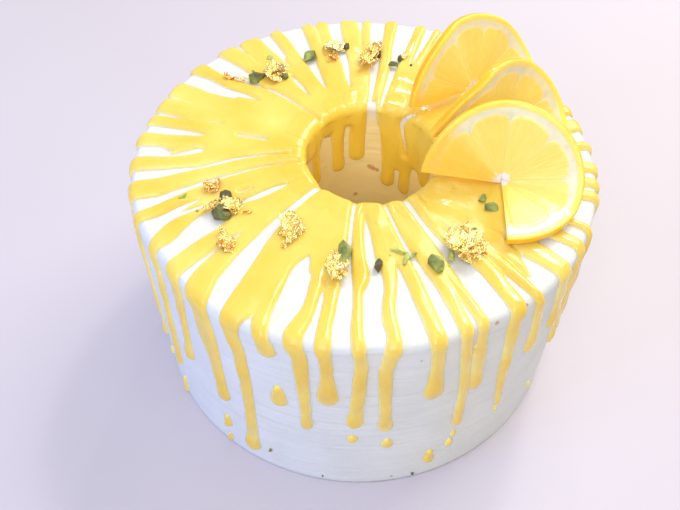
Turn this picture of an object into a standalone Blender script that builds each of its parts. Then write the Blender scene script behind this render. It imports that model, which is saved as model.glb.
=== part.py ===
"""Chiffon cake: a tall ring of sponge in a cream coat, with lemon sauce that runs
over the rim, pistachio bits, crumpled gold leaf and three twisted lemon slices.

Metres, +Z up. The origin is under the middle of the cake, on the plane that it
rests on. Angles round the cake are in degrees, 0 at the front (-Y), and they
grow towards the right-hand side (+X).
"""
import math
import random

import bmesh
import bpy
from mathutils import Vector

MM = 0.001

# The coated cake
CAKE_HEIGHT = 100 * MM
TOP_RADIUS = 90.4 * MM
BASE_RADIUS = 90.6 * MM
TOP_SHIFT = 1.6 * MM          # the top circle sits this much further back
BASE_SHIFT = (-0.8 * MM, -0.8 * MM)
RIM_ROUND = 3.0 * MM          # the spread cream's edge
# Flat spots that the palette knife left on the rim: angle, half width, depth
RIM_DENTS = ((-51, 11, 1.8), (-108, 13, 1.0), (4, 5, 1.0), (29, 8, 1.6))
ROUND_STEPS = 72

# The tube hole, slightly off the middle
HOLE_X = 3.5 * MM
HOLE_Y = 2.4 * MM
HOLE_TOP = 27.6 * MM
HOLE_BASE = 26.0 * MM

# The sauce
SAUCE_DEPTH = 1.5 * MM
POOL_OUTER = 38.0 * MM        # the pool's edge, from the hole's middle
POOL_INNER = 25.9 * MM
RUN_START = 31.0 * MM         # runs leave the pool here, from the cake's axis

# Runs in front: angle 50 mm out, angle and width in degrees 85 mm out, angle on
# the wall, and the height above the base in millimetres at which the run stops
FRONT_RUNS = (
    (-97, -94.3, 5.3, -95, 55), (-91, -84.3, 4.6, -84, 38), (-81.5, -76, 5.8, -76, 60),
    (-72, -67, 5.0, -67, 24), (-63, -57, 6.0, -56.5, 46), (-54.5, -50, 5.0, -47.5, 20),
    (-46, -40, 8.0, -39, 31), (-33, -29.3, 6.4, -29, 4), (-24, -21.5, 5.0, -20.3, 86),
    (-13.5, -14.3, 4.8, -13, 41), (-7.5, -7.8, 5.0, -7.2, 62), (1.5, 0.5, 3.0, 0, 47),
    (9, 7.1, 4.8, 6.5, 43), (17, 17.9, 4.6, 17.8, 62), (24.5, 24.9, 4.4, 25.5, 34),
    (29, 29.6, 3.2, 29.3, 57), (39.5, 37.2, 4.2, 37.5, 45), (45.5, 43.8, 4.4, 46, 53),
    (56, 53.6, 4.6, 52, 30), (63, 61.2, 3.6, 59, 18), (69, 68, 2.6, 65.5, 40),
    (78, 78, 3.2, 78, 26), (83, 82.8, 3.2, 83, 58), (88, 87.8, 3.8, 87.5, 44),
    (96.5, 96.3, 2.8, 96, 66), (104, 103.7, 4.2, 104, 30), (110, 109.7, 3.6, 110, 50),
)
# Runs behind: angle 50 mm out, angle and width in degrees 85 mm out. They go
# straight down the wall and stop at heights drawn at random
BACK_RUNS = (
    (118, 118, 4.4), (124.5, 124.5, 4.6), (131, 131, 4.8), (138, 138, 4.4),
    (145, 145, 5.0), (152, 152, 4.6), (159, 158.8, 3.0), (163.5, 164, 3.6),
    (172, 172.4, 4.6), (179.3, 180, 2.6), (184, 185.5, 4.0), (191.5, 193, 3.4),
    (196, 197.5, 3.0), (205, 207, 4.6), (212.5, 216, 7.0), (219.5, 224.3, 6.5),
    (228.5, 234.4, 6.0), (243, 244.6, 8.0), (250, 251.5, 6.4), (256.5, 258.7, 5.3),
)
BACK_STOP = (15, 72)

# Runs down the inside of the hole: angle about the hole's middle, width and
# length in millimetres
HOLE_RUNS = (
    (-128, 9, 10), (-143, 4, 34), (-160, 5, 22), (-175, 6, 15),
    (158, 8, 40), (138, 8, 46), (116, 8, 30), (84, 7, 18), (52, 6, 26),
    (14, 7, 15), (-28, 6, 22), (-70, 6, 32), (-100, 5, 14),
)

# Drops that have parted from their runs: angle, height, half width, half length
DROPS = (
    (-37, 14, 1.6, 6), (-19.3, 60, 1.9, 9), (0, 37, 1.4, 3.5), (8, 32, 1.4, 5),
    (19.5, 14, 1.6, 6), (26, 22, 1.2, 5), (38, 32, 1.2, 5), (150, 22, 1.6, 5),
    (-140, 16, 1.5, 5),
)

# Pistachio bits on the top: x, y, length, width, height, turn
PISTACHIOS = (
    (-24.4, 64.4, 7.5, 4.0, 3.4, 10), (-8.8, 71.0, 3.5, 2.6, 2.4, 70),
    (5.4, 65.6, 5.5, 3.6, 3.0, 120), (12.1, 59.6, 5.0, 2.2, 2.6, 35),
    (15.6, 64.4, 4.5, 3.6, 3.0, 150), (-42.5, 62.2, 5.5, 3.2, 2.8, 20),
    (-47.8, 47.8, 5.5, 4.0, 3.2, 80), (-34.5, 48.5, 5.0, 3.4, 3.0, 140),
    (-66.3, 13.5, 6.0, 4.0, 3.2, 60), (-51.3, -23.1, 6.5, 4.2, 3.6, 100),
    (-53.1, -30.6, 6.0, 4.0, 3.2, 20), (-50.6, -34.4, 4.5, 3.0, 2.6, 160),
    (-5.6, -47.5, 10.0, 5.0, 3.6, 75), (6.3, -53.4, 4.0, 3.0, 2.6, 15),
    (15.0, -48.8, 7.0, 3.0, 3.0, 50), (26.9, -52.5, 6.0, 4.2, 3.2, 130),
    (33.1, -47.5, 6.5, 3.8, 3.4, 75), (38.5, -36.9, 7.0, 3.0, 3.0, 145),
    (46.0, -25.2, 7.0, 4.0, 3.6, 125),
)
# Crumples of gold leaf on the top: x, y, length, width, height, turn
GOLD_LEAVES = (
    (-15.0, 63.7, 5, 4, 3, 0), (0.0, 60.0, 6, 5, 4, 60), (19.0, 61.5, 5, 4, 3, 20),
    (-41.0, 53.0, 9, 7, 4, 30), (-53.0, 43.0, 6, 3, 2, 160),
    (-58.0, 9.5, 9, 7, 4, 120), (-56.0, -16.9, 6, 5, 3, 40),
    (-46.5, -28.1, 5, 5, 3, 10), (-47.5, -43.8, 8, 4, 3, 120),
    (-25.6, -37.5, 5, 5, 3, 80), (-9.8, -54.2, 6, 5, 3, 10),
    (37.5, -43.8, 10, 8, 4, 140),
)

# The lemon slices
SLICE_RADIUS = 30.0 * MM
SLICE_THICK = 3.4 * MM
SLICE_HUB = 5.0 * MM
SLICE_EDGE = 0.8 * MM
SLICE_STEPS = 40
# Each slice is cut to its middle and twisted. Its middle is given in
# millimetres, then the bearing and the rise, in degrees, of the lines that run
# from the middle to the peel, from one side of the cut to the other.
SLICES = {
    "lemon_slice_front": (
        (51.7, -15.0, 104.3),
        ((176, 5), (174, 20), (172.5, 27), (166, 36), (153, 47), (128, 57), (88, 60),
         (48, 57), (20, 46), (2, 30), (-12, 14), (-28, 2), (-55, 0), (-91, 0)),
    ),
    "lemon_slice_middle": (
        (50.0, 13.0, 104.3),
        ((209, 18), (213, 35), (216, 51), (219, 68), (120, 86), (52, 66),
         (43, 50), (32, 36), (22, 22), (9, 10), (-8, 2), (-27, 0), (-45, 0)),
    ),
    "lemon_slice_back": (
        (44.1, 39.1, 104.3),
        ((212, 3), (209.5, 20), (207, 33), (202.5, 47), (187, 62), (140, 70),
         (84, 64), (57, 51), (46, 31), (36, 16), (22, 5), (6, 0), (-8, 0)),
    ),
}

CREAM_COLOUR = (0.90, 0.84, 0.66)
LEMON_COLOUR = (0.92, 0.62, 0.06)


# ---------------------------------------------------------------- the coat
def top_radius(degrees):
    """Radius of the top's edge at an angle round the cake."""
    radius = TOP_RADIUS - TOP_SHIFT * math.cos(math.radians(degrees))
    for angle, spread, depth in RIM_DENTS:
        away = (degrees - angle + 180) % 360 - 180
        radius -= depth * MM * math.exp(-((away / spread) ** 2))
    return radius


def base_radius(degrees):
    """Radius of the base's edge at an angle round the cake."""
    turn = math.radians(degrees)
    lean = BASE_SHIFT[0] * math.sin(turn) - BASE_SHIFT[1] * math.cos(turn)
    return BASE_RADIUS + lean


def wall_radius(degrees, height):
    """Radius of the side wall at an angle and a height."""
    share = max(0.0, min(1.0, height / (CAKE_HEIGHT - RIM_ROUND)))
    return base_radius(degrees) * (1 - share) + top_radius(degrees) * share


def coat_point(degrees, travel, lift):
    """Point on the coat, reached by going out over the top and down the wall."""
    turn = math.radians(degrees)
    edge = top_radius(degrees) - RIM_ROUND
    quarter = RIM_ROUND * math.pi / 2
    if travel <= edge:
        tilt = 0.0
        radius = travel
        height = CAKE_HEIGHT
    elif travel <= edge + quarter:
        tilt = (travel - edge) / RIM_ROUND
        radius = edge + RIM_ROUND * math.sin(tilt)
        height = CAKE_HEIGHT - RIM_ROUND * (1 - math.cos(tilt))
    else:
        tilt = math.pi / 2
        height = CAKE_HEIGHT - RIM_ROUND - (travel - edge - quarter)
        radius = wall_radius(degrees, height)
    radius += lift * math.sin(tilt)
    height += lift * math.cos(tilt)
    return Vector((radius * math.sin(turn), -radius * math.cos(turn), height))


def hole_point(degrees, travel, lift):
    """Point on the wall of the hole, reached by going down from its lip."""
    turn = math.radians(degrees)
    share = travel / CAKE_HEIGHT
    radius = HOLE_TOP * (1 - share) + HOLE_BASE * share - lift
    return Vector((
        HOLE_X + radius * math.sin(turn),
        HOLE_Y - radius * math.cos(turn),
        CAKE_HEIGHT - travel,
    ))


# ------------------------------------------------------------ object helpers
def clear_scene():
    for item in list(bpy.data.objects):
        bpy.data.objects.remove(item, do_unlink=True)


def new_collection(name):
    group = bpy.data.collections.new(name)
    bpy.context.scene.collection.children.link(group)
    return group


def plain_material(name, colour, roughness):
    material = bpy.data.materials.new(name)
    material.use_nodes = True
    shader = material.node_tree.nodes["Principled BSDF"]
    shader.inputs["Base Color"].default_value = (*colour, 1.0)
    shader.inputs["Roughness"].default_value = roughness
    shader.inputs["Metallic"].default_value = 0.0
    material.diffuse_color = (*colour, 1.0)
    return material


def object_from_bmesh(name, shape, group):
    bmesh.ops.recalc_face_normals(shape, faces=shape.faces)
    mesh = bpy.data.meshes.new(name)
    shape.to_mesh(mesh)
    shape.free()
    item = bpy.data.objects.new(name, mesh)
    group.objects.link(item)
    return item


def turned(name, profile, steps, group, closed=False):
    """Solid of revolution about Z, from a profile that runs down its outside."""
    mesh = bpy.data.meshes.new(name)
    points = [(radius, 0, height) for radius, height in profile]
    edges = [(i, i + 1) for i in range(len(points) - 1)]
    if closed:
        edges.append((len(points) - 1, 0))
    mesh.from_pydata(points, edges, [])
    item = bpy.data.objects.new(name, mesh)
    group.objects.link(item)
    screw = item.modifiers.new("Turn", "SCREW")
    screw.steps = steps
    screw.render_steps = steps
    screw.use_merge_vertices = True
    screw.merge_threshold = 0.00005
    return item


def make_real(item):
    """Replace an object's mesh by what its modifiers give."""
    graph = bpy.context.evaluated_depsgraph_get()
    graph.update()
    finished = bpy.data.meshes.new_from_object(item.evaluated_get(graph))
    item.modifiers.clear()
    item.data = finished
    return item


def loft(name, rings, group):
    """Closed skin over rings of equal point count, capped at both ends."""
    shape = bmesh.new()
    rows = [[shape.verts.new(point) for point in ring] for ring in rings]
    count = len(rings[0])
    for near, far in zip(rows, rows[1:]):
        for i in range(count):
            j = (i + 1) % count
            shape.faces.new((near[i], near[j], far[j], far[i]))
    shape.faces.new(rows[0])
    shape.faces.new(rows[-1])
    return object_from_bmesh(name, shape, group)


# ------------------------------------------------------------------ the sauce
def sauce_run(name, stations, place, group):
    """Ribbon of sauce: stations give angle, travel, half width, depth, radius."""
    rings = []
    for degrees, travel, half, depth, radius in stations:
        ring = []
        for side, lift in ((-1, -0.9 * MM), (-0.55, depth), (0.55, depth), (1, -0.9 * MM)):
            swing = math.degrees(side * half / radius)
            ring.append(place(degrees + swing, travel, lift))
        rings.append(ring)
    return loft(name, rings, group)


def run_angle(inner, rim, travel):
    """Angle of a run on the top: it drifts from its inner to its rim angle."""
    share = (travel - 50 * MM) / (35 * MM)
    return inner + (rim - inner) * max(-0.4, min(1.0, share))


def outer_run(name, inner, angle, width, wall_angle, stop, group):
    edge = top_radius(angle) - RIM_ROUND
    quarter = RIM_ROUND * math.pi / 2
    half = math.radians(width) * 85 * MM / 2
    fall = CAKE_HEIGHT - RIM_ROUND - stop * MM
    wall = 90 * MM
    near = 58 * MM
    bend = 0.6 * angle + 0.4 * wall_angle
    foot = edge + quarter
    bulb = min(6 * MM, 0.35 * fall)
    stations = [
        (run_angle(inner, angle, RUN_START), RUN_START, 0.6 * half, 0.9 * SAUCE_DEPTH, RUN_START),
        (run_angle(inner, angle, near), near, 0.86 * half, SAUCE_DEPTH, near),
        (angle, edge - 1.5 * MM, half, SAUCE_DEPTH, edge),
        (bend, edge + 0.5 * quarter, 0.96 * half, SAUCE_DEPTH, wall),
        (wall_angle, foot + 2 * MM, 0.85 * half, SAUCE_DEPTH, wall),
    ]
    if fall > 18 * MM:
        stations.append((wall_angle, foot + 0.55 * fall, 0.6 * half, 0.85 * SAUCE_DEPTH, wall))
    stations.append((wall_angle, foot + fall - bulb, 0.68 * half, 1.25 * SAUCE_DEPTH, wall))
    stations.append((wall_angle, foot + fall - 0.3 * bulb, 0.56 * half, 1.1 * SAUCE_DEPTH, wall))
    stations.append((wall_angle, foot + fall, 0.28 * half, 0.1 * MM, wall))
    return sauce_run(name, stations, coat_point, group)


def inner_run(name, angle, width, length, group):
    half = width * MM / 2
    reach = length * MM
    wall = HOLE_TOP
    stations = [
        (angle, 1.0 * MM, half * 1.1, 1.3 * MM, wall),
        (angle, 0.45 * reach, half * 0.9, 1.2 * MM, wall),
        (angle, reach - 3 * MM, half * 0.8, 1.5 * MM, wall),
        (angle, reach, half * 0.35, 0.1 * MM, wall),
    ]
    return sauce_run(name, stations, hole_point, group)


def sauce_pool(group):
    """The ring of sauce round the hole, which bulges a little over its lip."""
    top = CAKE_HEIGHT
    profile = (
        (POOL_INNER + 0.9 * MM, top + 0.9 * MM),
        (HOLE_TOP + 0.7 * MM, top + SAUCE_DEPTH),
        (POOL_OUTER - 1.2 * MM, top + SAUCE_DEPTH),
        (POOL_OUTER, top + 0.5 * MM),
        (POOL_OUTER, top - 0.8 * MM),
        (HOLE_TOP + 1.4 * MM, top - 0.8 * MM),
        (HOLE_TOP + 0.7 * MM, top - 5.0 * MM),
        (POOL_INNER + 0.6 * MM, top - 3.6 * MM),
        (POOL_INNER, top - 1.0 * MM),
    )
    pool = turned("pool", profile, 60, group, closed=True)
    pool.location = (HOLE_X, HOLE_Y, 0)
    return pool


# --------------------------------------------------------------- the toppings
def nugget(name, centre, size, turn, rough, rng, group):
    """Small angular lump: a coarse ball, stretched, with its corners pushed about."""
    shape = bmesh.new()
    bmesh.ops.create_icosphere(shape, subdivisions=1, radius=1.0)
    for vert in shape.verts:
        push = 1 + rng.uniform(-rough, rough)
        vert.co = Vector((
            vert.co.x * size[0] / 2 * push,
            vert.co.y * size[1] / 2 * push,
            vert.co.z * size[2] / 2 * push,
        ))
    item = object_from_bmesh(name, shape, group)
    item.location = centre
    item.rotation_euler = (0, 0, math.radians(turn))
    return item


def toppings(group):
    rng = random.Random(41)
    for index, (x, y, long, wide, tall, turn) in enumerate(PISTACHIOS):
        centre = (x * MM, y * MM, CAKE_HEIGHT + SAUCE_DEPTH + 0.12 * tall * MM)
        size = (long * MM, wide * MM, tall * MM * 1.5)
        nugget("pistachio_%02d" % index, centre, size, turn, 0.16, rng, group)
    for index, (x, y, long, wide, tall, turn) in enumerate(GOLD_LEAVES):
        centre = (x * MM, y * MM, CAKE_HEIGHT + SAUCE_DEPTH + 0.1 * tall * MM)
        size = (long * MM, wide * MM, tall * MM * 1.5)
        nugget("gold_%02d" % index, centre, size, turn, 0.2, rng, group)
    for index, (angle, height, half, reach) in enumerate(DROPS):
        travel = top_radius(angle) - RIM_ROUND + RIM_ROUND * math.pi / 2
        travel += CAKE_HEIGHT - RIM_ROUND - height * MM
        centre = coat_point(angle, travel, 0.1 * MM)
        size = (2 * half * MM, 2.6 * MM, 2 * reach * MM)
        nugget("drop_%02d" % index, centre, size, angle, 0.03, rng, group)


# ------------------------------------------------------------------- the cake
def cream_body(group):
    """The coated ring cake without its sauce."""
    edge = TOP_RADIUS - RIM_ROUND
    profile = [(0, CAKE_HEIGHT)]
    for step in range(4):
        tilt = step * math.pi / 6
        radius = edge + RIM_ROUND * math.sin(tilt)
        height = CAKE_HEIGHT - RIM_ROUND * (1 - math.cos(tilt))
        profile.append((radius, height))
    profile.append((TOP_RADIUS, CAKE_HEIGHT / 2))
    profile.append((TOP_RADIUS, 0))
    profile.append((0, 0))
    body = make_real(turned("cake", profile, ROUND_STEPS, group))
    for vert in body.data.vertices:
        radius = math.hypot(vert.co.x, vert.co.y)
        if radius > 0.5 * TOP_RADIUS:
            degrees = math.degrees(math.atan2(vert.co.x, -vert.co.y))
            change = wall_radius(degrees, vert.co.z) - TOP_RADIUS
            vert.co.x *= 1 + change / radius
            vert.co.y *= 1 + change / radius
    return body


def build_cake(group):
    cutters = new_collection("cutters")
    over = 5 * MM
    flare = (HOLE_TOP - HOLE_BASE) * over / CAKE_HEIGHT
    bore = turned("bore", (
        (0, CAKE_HEIGHT + over),
        (HOLE_TOP + flare, CAKE_HEIGHT + over),
        (HOLE_BASE - flare, -over),
        (0, -over),
    ), 48, cutters)
    bore.location = (HOLE_X, HOLE_Y, 0)
    bore.hide_render = True
    bore.display_type = "WIRE"

    body = cream_body(group)
    cut = body.modifiers.new("Hole", "BOOLEAN")
    cut.operation = "DIFFERENCE"
    cut.object = bore
    cut.solver = "EXACT"
    make_real(body)

    sauce = new_collection("sauce and toppings")
    sauce_pool(sauce)
    for index, (inner, angle, width, wall_angle, stop) in enumerate(FRONT_RUNS):
        outer_run("run_%02d" % index, inner, angle, width, wall_angle, stop, sauce)
    rng = random.Random(7)
    for index, (inner, angle, width) in enumerate(BACK_RUNS):
        stop = rng.uniform(*BACK_STOP)
        outer_run("back_run_%02d" % index, inner, angle, width, angle, stop, sauce)
    for index, (angle, width, length) in enumerate(HOLE_RUNS):
        inner_run("hole_run_%02d" % index, angle, width, length, sauce)
    toppings(sauce)

    join = body.modifiers.new("Join", "BOOLEAN")
    join.operation = "UNION"
    join.operand_type = "COLLECTION"
    join.collection = sauce
    join.solver = "MANIFOLD"
    make_real(body)
    for item in list(sauce.objects):
        bpy.data.objects.remove(item, do_unlink=True)
    bpy.data.collections.remove(sauce)

    keep_largest(body)
    body.data.materials.clear()
    body.data.materials.append(plain_material("cream_and_sauce", CREAM_COLOUR, 0.35))
    body.data.shade_smooth()
    body.data.set_sharp_from_angle(angle=math.radians(35))
    return body


def keep_largest(item):
    """Drop any loose scrap or sealed bubble that joining has left."""
    shape = bmesh.new()
    shape.from_mesh(item.data)
    bmesh.ops.remove_doubles(shape, verts=shape.verts, dist=0.00002)
    bmesh.ops.triangulate(shape, faces=shape.faces)
    seen = set()
    islands = []
    for start in shape.verts:
        if start in seen:
            continue
        seen.add(start)
        island = [start]
        for vert in island:
            for edge in vert.link_edges:
                other = edge.other_vert(vert)
                if other not in seen:
                    seen.add(other)
                    island.append(other)
        islands.append(island)
    islands.sort(key=len)
    for island in islands[:-1]:
        bmesh.ops.delete(shape, geom=island, context="VERTS")
    shape.to_mesh(item.data)
    shape.free()


# ----------------------------------------------------------- the lemon slices
def bearing(degrees, rise):
    turn = math.radians(degrees)
    lift = math.radians(rise)
    flat = math.cos(lift)
    return Vector((flat * math.cos(turn), flat * math.sin(turn), math.sin(lift)))


def smooth_fan(guides, count):
    """Even fan of unit directions through the guide directions."""
    keys = [bearing(*guide) for guide in guides]
    knots = [0.0]
    for here, there in zip(keys, keys[1:]):
        knots.append(knots[-1] + math.sqrt((there - here).length))
    slopes = []
    last = len(keys) - 1
    for i in range(last + 1):
        if i == 0:
            slopes.append((keys[1] - keys[0]) / (knots[1] - knots[0]))
        elif i == last:
            slopes.append((keys[last] - keys[last - 1]) / (knots[last] - knots[last - 1]))
        else:
            before = knots[i] - knots[i - 1]
            after = knots[i + 1] - knots[i]
            behind = (keys[i] - keys[i - 1]) / before
            ahead = (keys[i + 1] - keys[i]) / after
            slopes.append((behind * after + ahead * before) / (before + after))
    fine = []
    for i in range(last):
        gap = knots[i + 1] - knots[i]
        for step in range(24):
            u = step / 24
            point = keys[i] * (2 * u ** 3 - 3 * u ** 2 + 1)
            point += slopes[i] * gap * (u ** 3 - 2 * u ** 2 + u)
            point += keys[i + 1] * (3 * u ** 2 - 2 * u ** 3)
            point += slopes[i + 1] * gap * (u ** 3 - u ** 2)
            fine.append(point.normalized())
    fine.append(keys[last])
    lengths = [0.0]
    for here, there in zip(fine, fine[1:]):
        lengths.append(lengths[-1] + (there - here).length)
    fan = []
    i = 0
    for step in range(count + 1):
        want = lengths[-1] * step / count
        while i < len(fine) - 2 and lengths[i + 1] < want:
            i += 1
        share = (want - lengths[i]) / (lengths[i + 1] - lengths[i])
        fan.append(fine[i].lerp(fine[i + 1], share).normalized())
    return fan


def lemon_slice(name, middle, guides, group, material):
    """A slice cut to its middle: straight lines fan out from there to the peel."""
    fan = smooth_fan(guides, SLICE_STEPS)
    centre = Vector(middle) * MM
    half = SLICE_THICK / 2
    rows = []
    mean = Vector()
    for i, line in enumerate(fan):
        along = fan[min(i + 1, len(fan) - 1)] - fan[max(i - 1, 0)]
        face = along.cross(line).normalized()
        mean += face
        rows.append([
            centre + line * SLICE_HUB + face * half,
            centre + line * (SLICE_RADIUS - SLICE_EDGE) + face * half,
            centre + line * SLICE_RADIUS + face * (half - SLICE_EDGE),
            centre + line * SLICE_RADIUS - face * (half - SLICE_EDGE),
            centre + line * (SLICE_RADIUS - SLICE_EDGE) - face * half,
            centre + line * SLICE_HUB - face * half,
        ])
    mean.normalize()
    shape = bmesh.new()
    verts = [[shape.verts.new(point) for point in row] for row in rows]
    upper = shape.verts.new(centre + mean * half)
    lower = shape.verts.new(centre - mean * half)
    for near, far in zip(verts, verts[1:]):
        for i in range(5):
            shape.faces.new((near[i], near[i + 1], far[i + 1], far[i]))
        shape.faces.new((near[0], far[0], upper))
        shape.faces.new((near[5], far[5], lower))
    for row in (verts[0], verts[-1]):
        shape.faces.new(row + [lower, upper])
    bmesh.ops.triangulate(shape, faces=shape.faces)
    item = object_from_bmesh(name, shape, group)
    item.data.materials.append(material)
    item.data.shade_smooth()
    item.data.set_sharp_from_angle(angle=math.radians(40))
    return item


def stand_on_origin(items):
    """Move the model so that its box is centred over the origin, base at 0."""
    corners = [item.matrix_world @ vert.co for item in items for vert in item.data.vertices]
    middle_x = (min(c.x for c in corners) + max(c.x for c in corners)) / 2
    middle_y = (min(c.y for c in corners) + max(c.y for c in corners)) / 2
    floor = min(c.z for c in corners)
    for item in items:
        for vert in item.data.vertices:
            vert.co -= Vector((middle_x, middle_y, floor))
    print("model moved by", -middle_x, -middle_y, -floor)


def main():
    clear_scene()
    group = new_collection("chiffon cake")
    items = [build_cake(group)]
    for name, (middle, guides) in SLICES.items():
        peel = plain_material(name, LEMON_COLOUR, 0.3)
        items.append(lemon_slice(name, middle, guides, group, peel))
    stand_on_origin(items)
    for item in items:
        print(item.name, len(item.data.polygons), "triangles")


main()
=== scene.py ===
# Chiffon cake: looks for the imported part. Sizes are in millimetres and angles in
# degrees, 0 at the front (-Y) and growing towards the right-hand side (+X).
import math
import random
from functools import partial

import bmesh
import bpy
import numpy as np
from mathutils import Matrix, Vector


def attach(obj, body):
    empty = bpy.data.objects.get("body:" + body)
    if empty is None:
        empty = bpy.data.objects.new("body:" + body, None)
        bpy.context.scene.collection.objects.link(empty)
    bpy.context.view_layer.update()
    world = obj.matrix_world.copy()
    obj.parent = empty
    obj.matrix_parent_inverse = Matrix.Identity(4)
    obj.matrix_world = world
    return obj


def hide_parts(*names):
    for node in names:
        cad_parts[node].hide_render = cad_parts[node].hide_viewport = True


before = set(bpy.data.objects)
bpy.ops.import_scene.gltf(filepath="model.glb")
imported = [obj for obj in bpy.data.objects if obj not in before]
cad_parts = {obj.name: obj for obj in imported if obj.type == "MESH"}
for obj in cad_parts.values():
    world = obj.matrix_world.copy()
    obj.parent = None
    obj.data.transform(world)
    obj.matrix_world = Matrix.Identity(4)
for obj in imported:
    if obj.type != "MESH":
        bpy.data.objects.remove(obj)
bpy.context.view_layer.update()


# ------------------------------------------------------------------ cream coat
# Whipped cream, spread over the sponge ring with a palette knife: smooth top,
# softly rounded rim, upright side, and a thin coat inside the tube hole, beige there from the
# sponge beneath and from painted warm bounce light.
# It stands for the cake's solid, together with the sauce and the toppings.
MM = 0.001
CAKE_AXIS = np.array((0.235, -0.921, 0.0))   # the cake's axis in the model
CAKE_HEIGHT = 100.0
TOP_RADIUS = 90.4
BASE_RADIUS = 90.6
TOP_SHIFT = 1.6
BASE_SHIFT = (-0.8, -0.8)
RIM_ROUND = 3.0
RIM_DENTS = ((-51, 11, 1.8), (-108, 13, 1.0), (4, 5, 1.0), (29, 8, 1.6))
HOLE_MIDDLE = np.array((3.5, 2.4))
HOLE_TOP = 27.6
HOLE_BASE = 26.0
LIP_ROUND = 2.0
CREAM_COLUMNS = 420
UNEVEN = 0.22                                 # the knife's lumps, in mm


def top_radius(angle):
    radius = TOP_RADIUS - TOP_SHIFT * np.cos(np.radians(angle))
    for middle, spread, depth in RIM_DENTS:
        away = (angle - middle + 180) % 360 - 180
        radius = radius - depth * np.exp(-((away / spread) ** 2))
    return radius


def wall_radius(angle, height):
    turn = np.radians(angle)
    base = BASE_RADIUS + BASE_SHIFT[0] * np.sin(turn) - BASE_SHIFT[1] * np.cos(turn)
    share = np.clip(height / (CAKE_HEIGHT - RIM_ROUND), 0, 1)
    return base * (1 - share) + top_radius(angle) * share


def coat(angle, travel):
    """Points and normals on the coat: out over the top, round the rim, down."""
    angle, travel = np.broadcast_arrays(np.asarray(angle, float), np.asarray(travel, float))
    turn = np.radians(angle)
    edge = top_radius(angle) - RIM_ROUND
    quarter = RIM_ROUND * math.pi / 2
    tilt = np.clip((travel - edge) / RIM_ROUND, 0, math.pi / 2)
    drop = np.maximum(travel - edge - quarter, 0)
    height = CAKE_HEIGHT - RIM_ROUND * (1 - np.cos(tilt)) - drop
    rounded = edge + RIM_ROUND * np.sin(tilt)
    radius = np.where(travel <= edge, travel, rounded)
    radius = np.where(drop > 0, wall_radius(angle, height), radius)
    points = np.stack((radius * np.sin(turn), -radius * np.cos(turn), height), -1)
    out = np.sin(tilt)
    normals = np.stack((out * np.sin(turn), -out * np.cos(turn), np.cos(tilt)), -1)
    return points, normals


def hole_wall(angle, depth):
    """Points and normals down the hole, over its rounded lip; depth 0 is the top."""
    angle, depth = np.broadcast_arrays(np.asarray(angle, float), np.asarray(depth, float))
    turn = np.radians(angle)
    quarter = LIP_ROUND * math.pi / 2
    tilt = np.clip(depth / LIP_ROUND, 0, math.pi / 2)
    drop = np.maximum(depth - quarter, 0)
    height = CAKE_HEIGHT - LIP_ROUND * (1 - np.cos(tilt)) - drop
    share = np.clip(1 - height / CAKE_HEIGHT, 0, 1)
    radius = HOLE_TOP * (1 - share) + HOLE_BASE * share
    radius = radius + LIP_ROUND * (1 - np.sin(tilt))
    points = np.stack((
        HOLE_MIDDLE[0] + radius * np.sin(turn),
        HOLE_MIDDLE[1] - radius * np.cos(turn),
        height,
    ), -1)
    into = np.sin(tilt)
    normals = np.stack((-into * np.sin(turn), into * np.cos(turn), np.cos(tilt)), -1)
    return points, normals


def new_mesh(name, points, faces):
    """Mesh object at the origin, from points in the cake's own millimetres."""
    mesh = bpy.data.meshes.new(name)
    mesh.from_pydata(((np.asarray(points) + CAKE_AXIS) * MM).tolist(), [], faces)
    mesh.shade_smooth()
    item = bpy.data.objects.new(name, mesh)
    bpy.context.scene.collection.objects.link(item)
    return item


def ring_faces(rows, columns):
    """Quads of a grid whose rows and columns both close on themselves."""
    index = np.arange(rows * columns).reshape(rows, columns)
    below = np.roll(index, -1, axis=0)
    quads = np.stack((index, below, np.roll(below, -1, 1), np.roll(index, -1, 1)), -1)
    return quads.reshape(-1, 4)


def cream_rows():
    """Closed rings of points: up the hole, over the top, down the side, and back."""
    angle = np.linspace(0, 360, CREAM_COLUMNS, endpoint=False)
    quarter = LIP_ROUND * math.pi / 2
    depths = np.concatenate((
        np.linspace(CAKE_HEIGHT - LIP_ROUND + quarter, quarter, 34),
        np.linspace(quarter, 0, 6)[1:],
    ))
    rows = [hole_wall(angle, depth)[0] for depth in depths]
    lip = rows[-1]
    edge = top_radius(angle) - RIM_ROUND
    rim = coat(angle, edge)[0]
    for share in np.linspace(0, 1, 44)[1:]:
        rows.append(lip * (1 - share) + rim * share)
    quarter = RIM_ROUND * math.pi / 2
    for step in np.linspace(0, quarter, 8)[1:]:
        rows.append(coat(angle, edge + step)[0])
    for drop in np.linspace(0, CAKE_HEIGHT - RIM_ROUND, 62)[1:]:
        rows.append(coat(angle, edge + quarter + drop)[0])
    base = rows[-1]
    start = rows[0]
    for share in np.linspace(0, 1, 8)[1:-1]:
        rows.append(base * (1 - share) + start * share)
    return np.array(rows)


def node_maker(tree):
    """Shorthand that adds a node and fills or links its inputs; a node given as a
    source stands for its first output."""
    def add(kind, *sources, **settings):
        node = tree.nodes.new(kind)
        for name, value in settings.items():
            setattr(node, name, value)
        for slot, source in sources:
            socket = node.inputs[slot]
            if isinstance(source, bpy.types.Node):
                source = source.outputs[0]
            if isinstance(source, bpy.types.NodeSocket):
                tree.links.new(source, socket)
            else:
                socket.default_value = source
        return node
    return add


def new_finish(name, **even):
    """Principled finish, with what is the same all over set on its own sockets."""
    finish = bpy.data.materials.new(name)
    finish.use_nodes = True
    shader = finish.node_tree.nodes["Principled BSDF"]
    for label, value in even.items():
        shader.inputs[label.replace("_", " ")].default_value = value
    add = node_maker(finish.node_tree)
    return finish, add, add("ShaderNodeTexCoord").outputs["Object"]


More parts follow.
